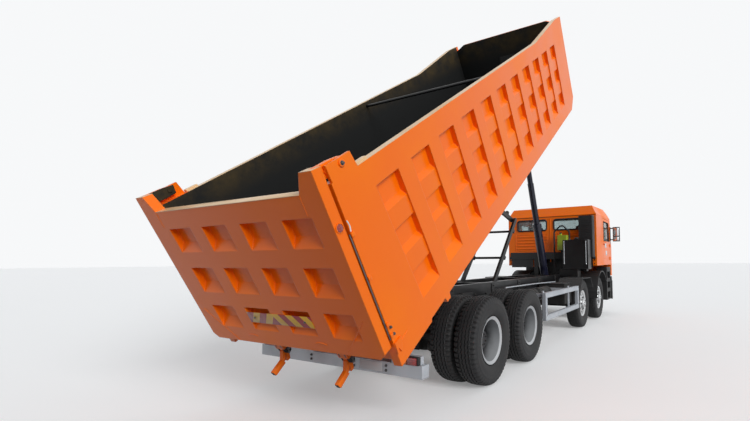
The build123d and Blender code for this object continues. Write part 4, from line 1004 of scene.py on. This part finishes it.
def make_seats():
    pieces = []
    for side, sign in SIDES:
        y = sign * SEAT_ACROSS
        pieces.append(boxes("seat_base_" + side, "cab", "black_plastic", [
            ((x_at(7.450), y, 1.640), (0.380, 0.380, 0.320), 0.020),
            ((x_at(7.450), y, 1.812), (0.440, 0.420, 0.024), 0.006)]))
        for name, station, z, size, bulge in (("seat_cushion_", 7.450, 1.885, (0.505, 0.480, 0.118), 0.007),
                                              ("seat_back_", 7.200, 2.235, (0.110, 0.460, 0.650), 0.006),
                                              ("seat_headrest_", 7.195, 2.632, (0.080, 0.250, 0.130), 0.005)):
            soft = bmesh.new()
            cushion(soft, (x_at(station), y, z), size, bulge)
            piece = finished(soft, name + side, "cab", "seat_fabric", sharp_angle=60.0)
            pieces.append(piece)
        posts = bmesh.new()
        for across in (0.060, -0.060):
            upright(posts, 7.195, y + across, 2.545, 2.580, 0.007, 12)
        pieces.append(finished(posts, "headrest_posts_" + side, "cab", "cast_dark", "zinc"))
        pieces.append(boxes("seat_buckle_" + side, "cab", "black_plastic", [
            ((x_at(7.470), y + sign * 0.232, 1.960), (0.050, 0.012, 0.090), 0.004)]))
    for piece in pieces:
        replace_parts(piece, "cab_seats")


# Chassis fittings

RAIL_FACE = 0.430
FRONT_AXLES = (5.175, 6.975)
COIL_POINTS = 44
COIL_RADIUS = 0.030
AIR_TANK_ACROSS = -0.700
AIR_TANK_UP = 0.900
SIGHT_ROD_STATION = 5.698
GUARD_FACE = 1.222
TAIL_LAMP_UP = 0.600


def make_rail_bolts():
    for side, sign in SIDES:
        shape = bmesh.new()
        for index in range(24):
            station = -0.800 + index * 0.370
            for z in (0.850, 1.035):
                bolt(shape, (x_at(station), sign * RAIL_FACE, z), (0.0, sign, 0.0), 0.024)
        for station in (0.300, 1.700, 2.900, 4.100, 5.300):
            block(shape, (x_at(station), sign * 0.436, 1.100), (0.120, 0.012, 0.180), 0.004)
            for z in (1.040, 1.150):
                bolt(shape, (x_at(station), sign * 0.442, z), (0.0, sign, 0.0), 0.026)
        finished(shape, "rail_bolts_" + side, "chassis", "cast_dark")


def make_chassis_pipes():
    for index, (y, z, radius) in enumerate(((-0.452, 0.965, 0.010), (-0.455, 0.940, 0.007),
                                            (0.452, 0.965, 0.010))):
        points = [Vector((x_at(1.900 + 0.360 * clip), y, z + 0.008 * math.sin(clip * 1.7 + index)))
                  for clip in range(12)]
        pipe("brake_pipe_" + str(index + 1), points, radius, "chassis", "hose_rubber")
    boxes("pipe_clips", "chassis", "cast_dark", [
        ((x_at(2.050 + index * 0.620), sign * 0.450, 0.955), (0.022, 0.040, 0.060), 0.004)
        for _, sign in SIDES for index in range(7)], "zinc")
    bright = [Vector((x_at(station), y, z)) for station, y, z in (
        (4.420, -0.700, 1.090), (3.300, -0.620, 1.100), (1.950, -0.560, 1.096))]
    pipe("tank_pipe", bright, 0.012, "chassis", "silver_bar", smooth=False)
    for number, (station, y) in enumerate(((5.300, -0.600), (5.420, -0.660), (5.540, -0.600))):
        points = []
        for index in range(COIL_POINTS):
            turn = index * 2.0 * math.pi / 10.0
            points.append(Vector((x_at(station) + COIL_RADIUS * math.cos(turn),
                                  y + COIL_RADIUS * math.sin(turn), 0.985 + 0.0035 * index)))
        pipe("coiled_hose_" + str(number + 1), points, 0.008, "chassis", "hose_rubber", sides=2)


def make_suspension_fittings():
    for side, sign in SIDES:
        shape = bmesh.new()
        for station in (0.610, 0.790):
            for across in (0.434, 0.536):
                upright(shape, station, sign * across, 0.620, 0.840, 0.012, 12)
                upright(shape, station, sign * across, 0.612, 0.628, 0.022, 6)
        for axle in FRONT_AXLES:
            for station in (axle - 0.075, axle + 0.075):
                for across in (0.346, 0.434):
                    upright(shape, station, sign * across, 0.500, 0.665, 0.010, 12)
        finished(shape, "spring_bolts_" + side, "chassis", "cast_dark")
        chambers = bmesh.new()
        for station in (-0.260, 1.660):
            lathe(chambers, ((-0.075, 0.001), (-0.075, 0.060), (-0.050, 0.078), (-0.008, 0.080),
                             (-0.008, 0.092), (0.008, 0.092), (0.008, 0.080), (0.055, 0.072),
                             (0.075, 0.045), (0.080, 0.001)),
                  (x_at(station), sign * 0.500, 0.470), LEFTWARD, 28)
        finished(chambers, "brake_chambers_" + side, "chassis", "cast_dark")
        dampers = bmesh.new()
        for station in FRONT_AXLES:
            foot = Vector((x_at(station - 0.100), sign * 0.500, 0.540))
            head = Vector((x_at(station - 0.180), sign * 0.480, 0.960))
            rod(dampers, foot, foot.lerp(head, 0.55), 0.040, 20)
            rod(dampers, foot.lerp(head, 0.50), head, 0.030, 20)
        finished(dampers, "dampers_" + side, "chassis", "cast_dark")


def make_cap(name, centre, outline, sides=28):
    """A black cap on top of a tank."""
    shape = bmesh.new()
    lathe(shape, outline, centre, UPWARD, sides)
    finished(shape, name, "chassis", "black_plastic")


def make_tank_fittings():
    straps = []
    for station in (2.700, 3.550):
        straps += [((x_at(station), 0.800, 1.093), (0.050, 0.400, 0.006), 0.001),
                   ((x_at(station), 1.083, 0.820), (0.050, 0.006, 0.360), 0.001)]
    boxes("fuel_tank_straps", "chassis", "hose_rubber", straps)
    make_cap("fuel_cap", (x_at(2.920), 0.800, 1.090),
             ((0.0, 0.001), (0.0, 0.050), (0.022, 0.050), (0.030, 0.042), (0.034, 0.001)))
    bands = bmesh.new()
    for start in (2.350, 3.150):
        for share in (0.120, 0.500):
            lathe(bands, ((-0.018, 0.130), (-0.018, 0.135), (0.018, 0.135), (0.018, 0.130)),
                  (x_at(start + share), AIR_TANK_ACROSS, AIR_TANK_UP), AHEAD, 32, closed=True)
        for end, way in ((0.0, BACK), (0.620, AHEAD)):
            lathe(bands, ((0.000, 0.128), (0.012, 0.118), (0.024, 0.085), (0.030, 0.001)),
                  (x_at(start + end), AIR_TANK_ACROSS, AIR_TANK_UP), way, 32)
    finished(bands, "air_tank_bands", "chassis", "cast_dark")
    lid = bmesh.new()
    block(lid, (x_at(4.230), -0.760, 1.068), (0.540, 0.580, 0.018), 0.004)
    for along in (-0.220, 0.220):
        for y in (-0.540, -0.980):
            bolt(lid, (x_at(4.230 + along), y, 1.077), UPWARD, 0.022)
    for along in (-0.120, 0.120):
        block(lid, (x_at(4.230 + along), -1.043, 0.980), (0.040, 0.008, 0.160), 0.002)
    finished(lid, "battery_box_lid", "chassis", "black_plastic")


def make_hydraulic_tank_fittings():
    shape = bmesh.new()
    rear = x_at(5.705)
    for y in (-0.528, -1.152):
        block(shape, (rear - 0.001, y, 1.720), (0.006, 0.014, 0.730), 0.002)
    for z in (1.358, 2.082):
        block(shape, (rear - 0.001, -0.840, z), (0.006, 0.630, 0.014), 0.002)
    for y in (-0.600, -0.840, -1.080):
        bolt(shape, (x_at(5.870), y, 2.090), UPWARD, 0.022)
    finished(shape, "hydraulic_tank_edges", "chassis", "black_metal")
    rods = bmesh.new()
    for y in (-0.560, -1.110):
        upright(rods, SIGHT_ROD_STATION, y, 1.478, 2.042, 0.0105, 16)
        for z in (1.480, 2.040):
            lathe(rods, ((-0.020, 0.001), (-0.016, 0.012), (0.0, 0.019), (0.016, 0.012), (0.020, 0.001)),
                  (x_at(SIGHT_ROD_STATION), y, z), UPWARD, 18)
    finished(rods, "sight_rods", "chassis", "bright_stage", "bright_steel")
    make_cap("hydraulic_filler", (x_at(5.870), -0.840, 2.122),
             ((0.0, 0.001), (0.0, 0.048), (0.030, 0.048), (0.036, 0.040), (0.040, 0.001)))
    make_cap("expansion_cap", (x_at(6.180), -0.340, 2.287),
             ((0.0, 0.001), (0.0, 0.036), (0.026, 0.036), (0.032, 0.028), (0.034, 0.001)), 24)
    slats = []
    for index in range(9):
        z = 2.250 + index * 0.045
        slats += [((x_at(6.066), -1.025, z), (0.010, 0.300, 0.014), 0.003),
                  ((x_at(6.180), -1.212, z), (0.160, 0.008, 0.014), 0.003)]
    boxes("air_intake_slats", "chassis", "black_plastic", slats)
    clamps = bmesh.new()
    for y, z in ((-0.215, 0.960), (-0.620, 2.120)):
        lathe(clamps, ((-0.010, 0.0205), (-0.010, 0.026), (0.010, 0.026), (0.010, 0.0205)),
              (x_at(6.005), y, z), UPWARD, 24, closed=True)
    finished(clamps, "hose_clamps", "chassis", "cast_dark", "zinc")


def make_guard_trim():
    for side, sign in SIDES:
        y = sign * GUARD_FACE
        rows = [((x_at(3.300), y, z), (2.280 - 2 * inset, 0.006, 0.012), 0.002)
                for z, inset in ((0.536, 0.0), (0.614, 0.078), (0.926, 0.078), (1.004, 0.0))]
        rows += [((x_at(station), y, 0.770), (0.012, 0.006, 0.480 - 2 * inset), 0.002)
                 for station, inset in ((2.166, 0.0), (2.244, 0.078), (4.356, 0.078), (4.434, 0.0))]
        boxes("guard_rims_" + side, "chassis", "silver_bar", rows)


def make_rear_fittings():
    rear = x_at(-1.535)
    heads = bmesh.new()
    for y in (-0.760, -0.325, 0.325, 0.760):
        for z in (0.478, 0.524):
            bolt(heads, (rear, y, z), BACK, 0.022)
    finished(heads, "bumper_bolts", "chassis", "cast_dark", "zinc")
    for side, sign in SIDES:
        boxes("tail_lamp_box_" + side, "chassis", "black_plastic", [
            ((rear + 0.020, sign * 0.985, TAIL_LAMP_UP), (0.040, 0.350, 0.090), 0.006)])
        for name, across, width, lens in (("stop_lens_", 1.080, 0.110, "red_lens"),
                                          ("turn_lens_", 0.970, 0.090, "amber_lens"),
                                          ("reverse_lens_", 0.875, 0.080, "clear_lens")):
            boxes(name + side, "chassis", "orange", [
                ((rear - 0.003, sign * across, TAIL_LAMP_UP), (0.012, width, 0.072), 0.003)], lens)
        boxes("bumper_cap_" + side, "chassis", "silver_bar", [
            ((x_at(-1.475), sign * 1.2005, 0.501), (0.122, 0.003, 0.127), 0.001)])
    boxes("blank_rear_plate", "chassis", "orange", [
        ((rear - 0.002, -0.560, 0.505), (0.004, 0.300, 0.090), 0.001)], "white_plate")


# Node finishes

def finish_node(name, material):
    data = nodes[name].data
    data.materials.clear()
    data.materials.append(material)


make_camera()
make_world()
make_sun("key_light", (0.34, 0.84, -0.42), 2.35, 30.0)
make_sun("top_light", (0.1, 0.1, -1.0), 0.35, 90.0)
bpy.context.scene.view_settings.view_transform = "Standard"

sheet_finish = make_sheet_finish()
bed_axes = make_bed_axes()
# paint, faded and edge colour, the edge colour lighter as worn paint and as painted highlight, then what
# differs from the shared finish
sheets = (
    ("orange_paint", ORANGE, ORANGE_FADED, ORANGE_EDGE,
     dict(coat=0.10, shine=0.25, cloud_scale=1.1, edge_radius=0.006, dust_amount=0.04, low_dust=0.05)),
    ("black_paint", (0.006, 0.006, 0.007), (0.010, 0.010, 0.010), (0.045, 0.043, 0.040),
     dict(coat=0.10, shine=0.3, dust_amount=0.07, low_dust=0.08, edge_radius=0.004)),
    ("navy_paint", (0.006, 0.007, 0.020), (0.009, 0.010, 0.026), (0.06, 0.06, 0.08),
     dict(coat=0.4, dust_amount=0.03, low_dust=0.0, edge_radius=0.003, roughness_low=0.22)),
    ("bright_steel", (0.50, 0.51, 0.53), (0.42, 0.43, 0.45), (0.65, 0.65, 0.66),
     dict(metallic=1.0, dust_amount=0.05, low_dust=0.0, roughness_low=0.16, roughness_high=0.30,
          edge_radius=0.002)),
    ("stage_steel", (0.030, 0.032, 0.044), (0.045, 0.047, 0.060), (0.18, 0.18, 0.20),
     dict(metallic=0.7, dust_amount=0.02, low_dust=0.0, roughness_low=0.18, roughness_high=0.30,
          edge_radius=0.002)),
    ("silver_paint", (0.50, 0.53, 0.57), (0.43, 0.46, 0.50), (0.62, 0.64, 0.66),
     dict(metallic=0.35, dust_amount=0.10, low_dust=0.16, roughness_low=0.32, roughness_high=0.5,
          edge_radius=0.004)),
    ("rim_alloy", (0.70, 0.71, 0.72), (0.62, 0.63, 0.64), (0.8, 0.8, 0.8),
     dict(metallic=0.8, dust_amount=0.08, low_dust=0.15, roughness_low=0.22, roughness_high=0.36,
          edge_radius=0.003)),
    ("cast_metal", (0.014, 0.014, 0.015), (0.024, 0.023, 0.022), (0.09, 0.085, 0.08),
     dict(metallic=0.2, dust_amount=0.10, low_dust=0.12, roughness_low=0.5, roughness_high=0.8,
          ripple=0.25, ripple_scale=60.0)),
    ("tank_alloy", (0.56, 0.57, 0.58), (0.48, 0.49, 0.50), (0.7, 0.7, 0.7),
     dict(metallic=0.9, dust_amount=0.15, low_dust=0.20, roughness_low=0.25, roughness_high=0.42)),
    ("lime_plastic", (0.42, 0.56, 0.035), (0.48, 0.60, 0.06), (0.6, 0.7, 0.2),
     dict(coat=0.3, dust_amount=0.1, low_dust=0.0)),
    ("black_plastic", (0.008, 0.008, 0.009), (0.013, 0.013, 0.014), (0.05, 0.05, 0.05),
     dict(dust_amount=0.07, low_dust=0.08, roughness_low=0.45, roughness_high=0.65, ripple=0.15,
          ripple_scale=160.0)),
    ("zinc", (0.16, 0.16, 0.165), (0.11, 0.11, 0.11), (0.30, 0.30, 0.30),
     dict(metallic=0.8, dust_amount=0.15, low_dust=0.15, roughness_low=0.4, roughness_high=0.6,
          edge_radius=0.001)),
    # painted highlight for the thin strips on the upper edges
    ("painted_edge_highlight", (0.78, 0.52, 0.28), (0.70, 0.45, 0.22), (0.85, 0.62, 0.40),
     dict(coat=0.2, dust_amount=0.15, low_dust=0.0)),
    ("white_plate", (0.72, 0.73, 0.74), (0.64, 0.65, 0.66), (0.80, 0.80, 0.80),
     dict(coat=0.4, dust_amount=0.05, low_dust=0.0)),
    ("mirror_silver", (0.80, 0.82, 0.84), (0.76, 0.78, 0.80), (0.85, 0.85, 0.85),
     dict(metallic=1.0, dust_amount=0.02, low_dust=0.0, roughness_low=0.03, roughness_high=0.08,
          ripple=0.0)),
)
looks = {name: sheet_material(name, *colours, **values) for name, *colours, values in sheets}
looks["bed_orange"] = make_bed_orange()
looks["seat_cloth"] = make_seat_cloth()
looks["hazard_stripes"] = make_hazard_stripes()
for make, name, *values in (
        (make_rubber, "tyre_rubber", (0.008, 0.008, 0.009), (0.030, 0.028, 0.026), 0.35),
        (make_rubber, "black_rubber", (0.006, 0.006, 0.007), (0.02, 0.02, 0.019), 0.25),
        (make_lens, "amber_lens", (0.80, 0.20, 0.01), (0.40, 0.08, 0.004)),
        (make_lens, "clear_lens", (0.78, 0.80, 0.82), (0.50, 0.52, 0.54)),
        (make_lens, "red_lens", (0.55, 0.010, 0.008), (0.22, 0.003, 0.003)),
        (make_glass, "tinted_glass", (0.62, 0.70, 0.70), (0.52, 0.56, 0.56))):
    looks[name] = make(name, *values)

floor_shape = bmesh.new()
bmesh.ops.create_grid(floor_shape, x_segments=1, y_segments=1, size=180.0)
floor_mesh = bpy.data.meshes.new("floor")
floor_shape.to_mesh(floor_mesh)
floor_shape.free()
floor = bpy.data.objects.new("floor", floor_mesh)
bpy.context.scene.collection.objects.link(floor)
floor_mesh.materials.append(make_floor_material())

slot_look = {
    "orange": "orange_paint", "black_metal": "black_paint", "dark_barrel": "navy_paint",
    "bright_stage": "stage_steel", "black_plastic": "black_plastic", "tyre_rubber": "tyre_rubber",
    "rim_grey": "rim_alloy", "rim_bright": "rim_alloy", "silver_bar": "silver_paint",
    "cast_dark": "cast_metal", "tank_alloy": "tank_alloy", "lime_plastic": "lime_plastic",
    "hose_rubber": "black_rubber", "glass": "tinted_glass", "seat_fabric": "seat_cloth",
}
for name, node in nodes.items():
    slots = [entry.name.split(".")[0] for entry in node.data.materials if entry]
    known = [slot for slot in slots if slot in slot_look]
    if known:
        finish_node(name, looks[slot_look[known[0]]])
    if name.startswith(("bed_", "tailgate_panel")):
        finish_node(name, looks["bed_orange"])
# Rear rims with painted shade over the hub and the deep disc.
for axle in ("3", "4"):
    low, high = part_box("rims_left_" + axle)
    shade_painted_rim = make_shade_painted_rim("shade_painted_rim_" + axle, (low.x + high.x) / 2, (low.z + high.z) / 2)
    for side in ("left", "right"):
        finish_node("rims_" + side + "_" + axle, shade_painted_rim)

make_tyres()
make_wheel_nuts()
make_hazard_plate()
make_tailgate_trim()
make_pivot_fittings()
make_side_markers()
make_side_locks()
make_hook_fittings()
make_bed_edges()
make_floor_ribs()
make_window_seals()
make_cab_rear_fittings()
make_door_fittings()
make_mirror_fittings()
make_front_fittings()
make_seats()
make_rail_bolts()
make_chassis_pipes()
make_suspension_fittings()
make_tank_fittings()
make_hydraulic_tank_fittings()
make_guard_trim()
make_rear_fittings()
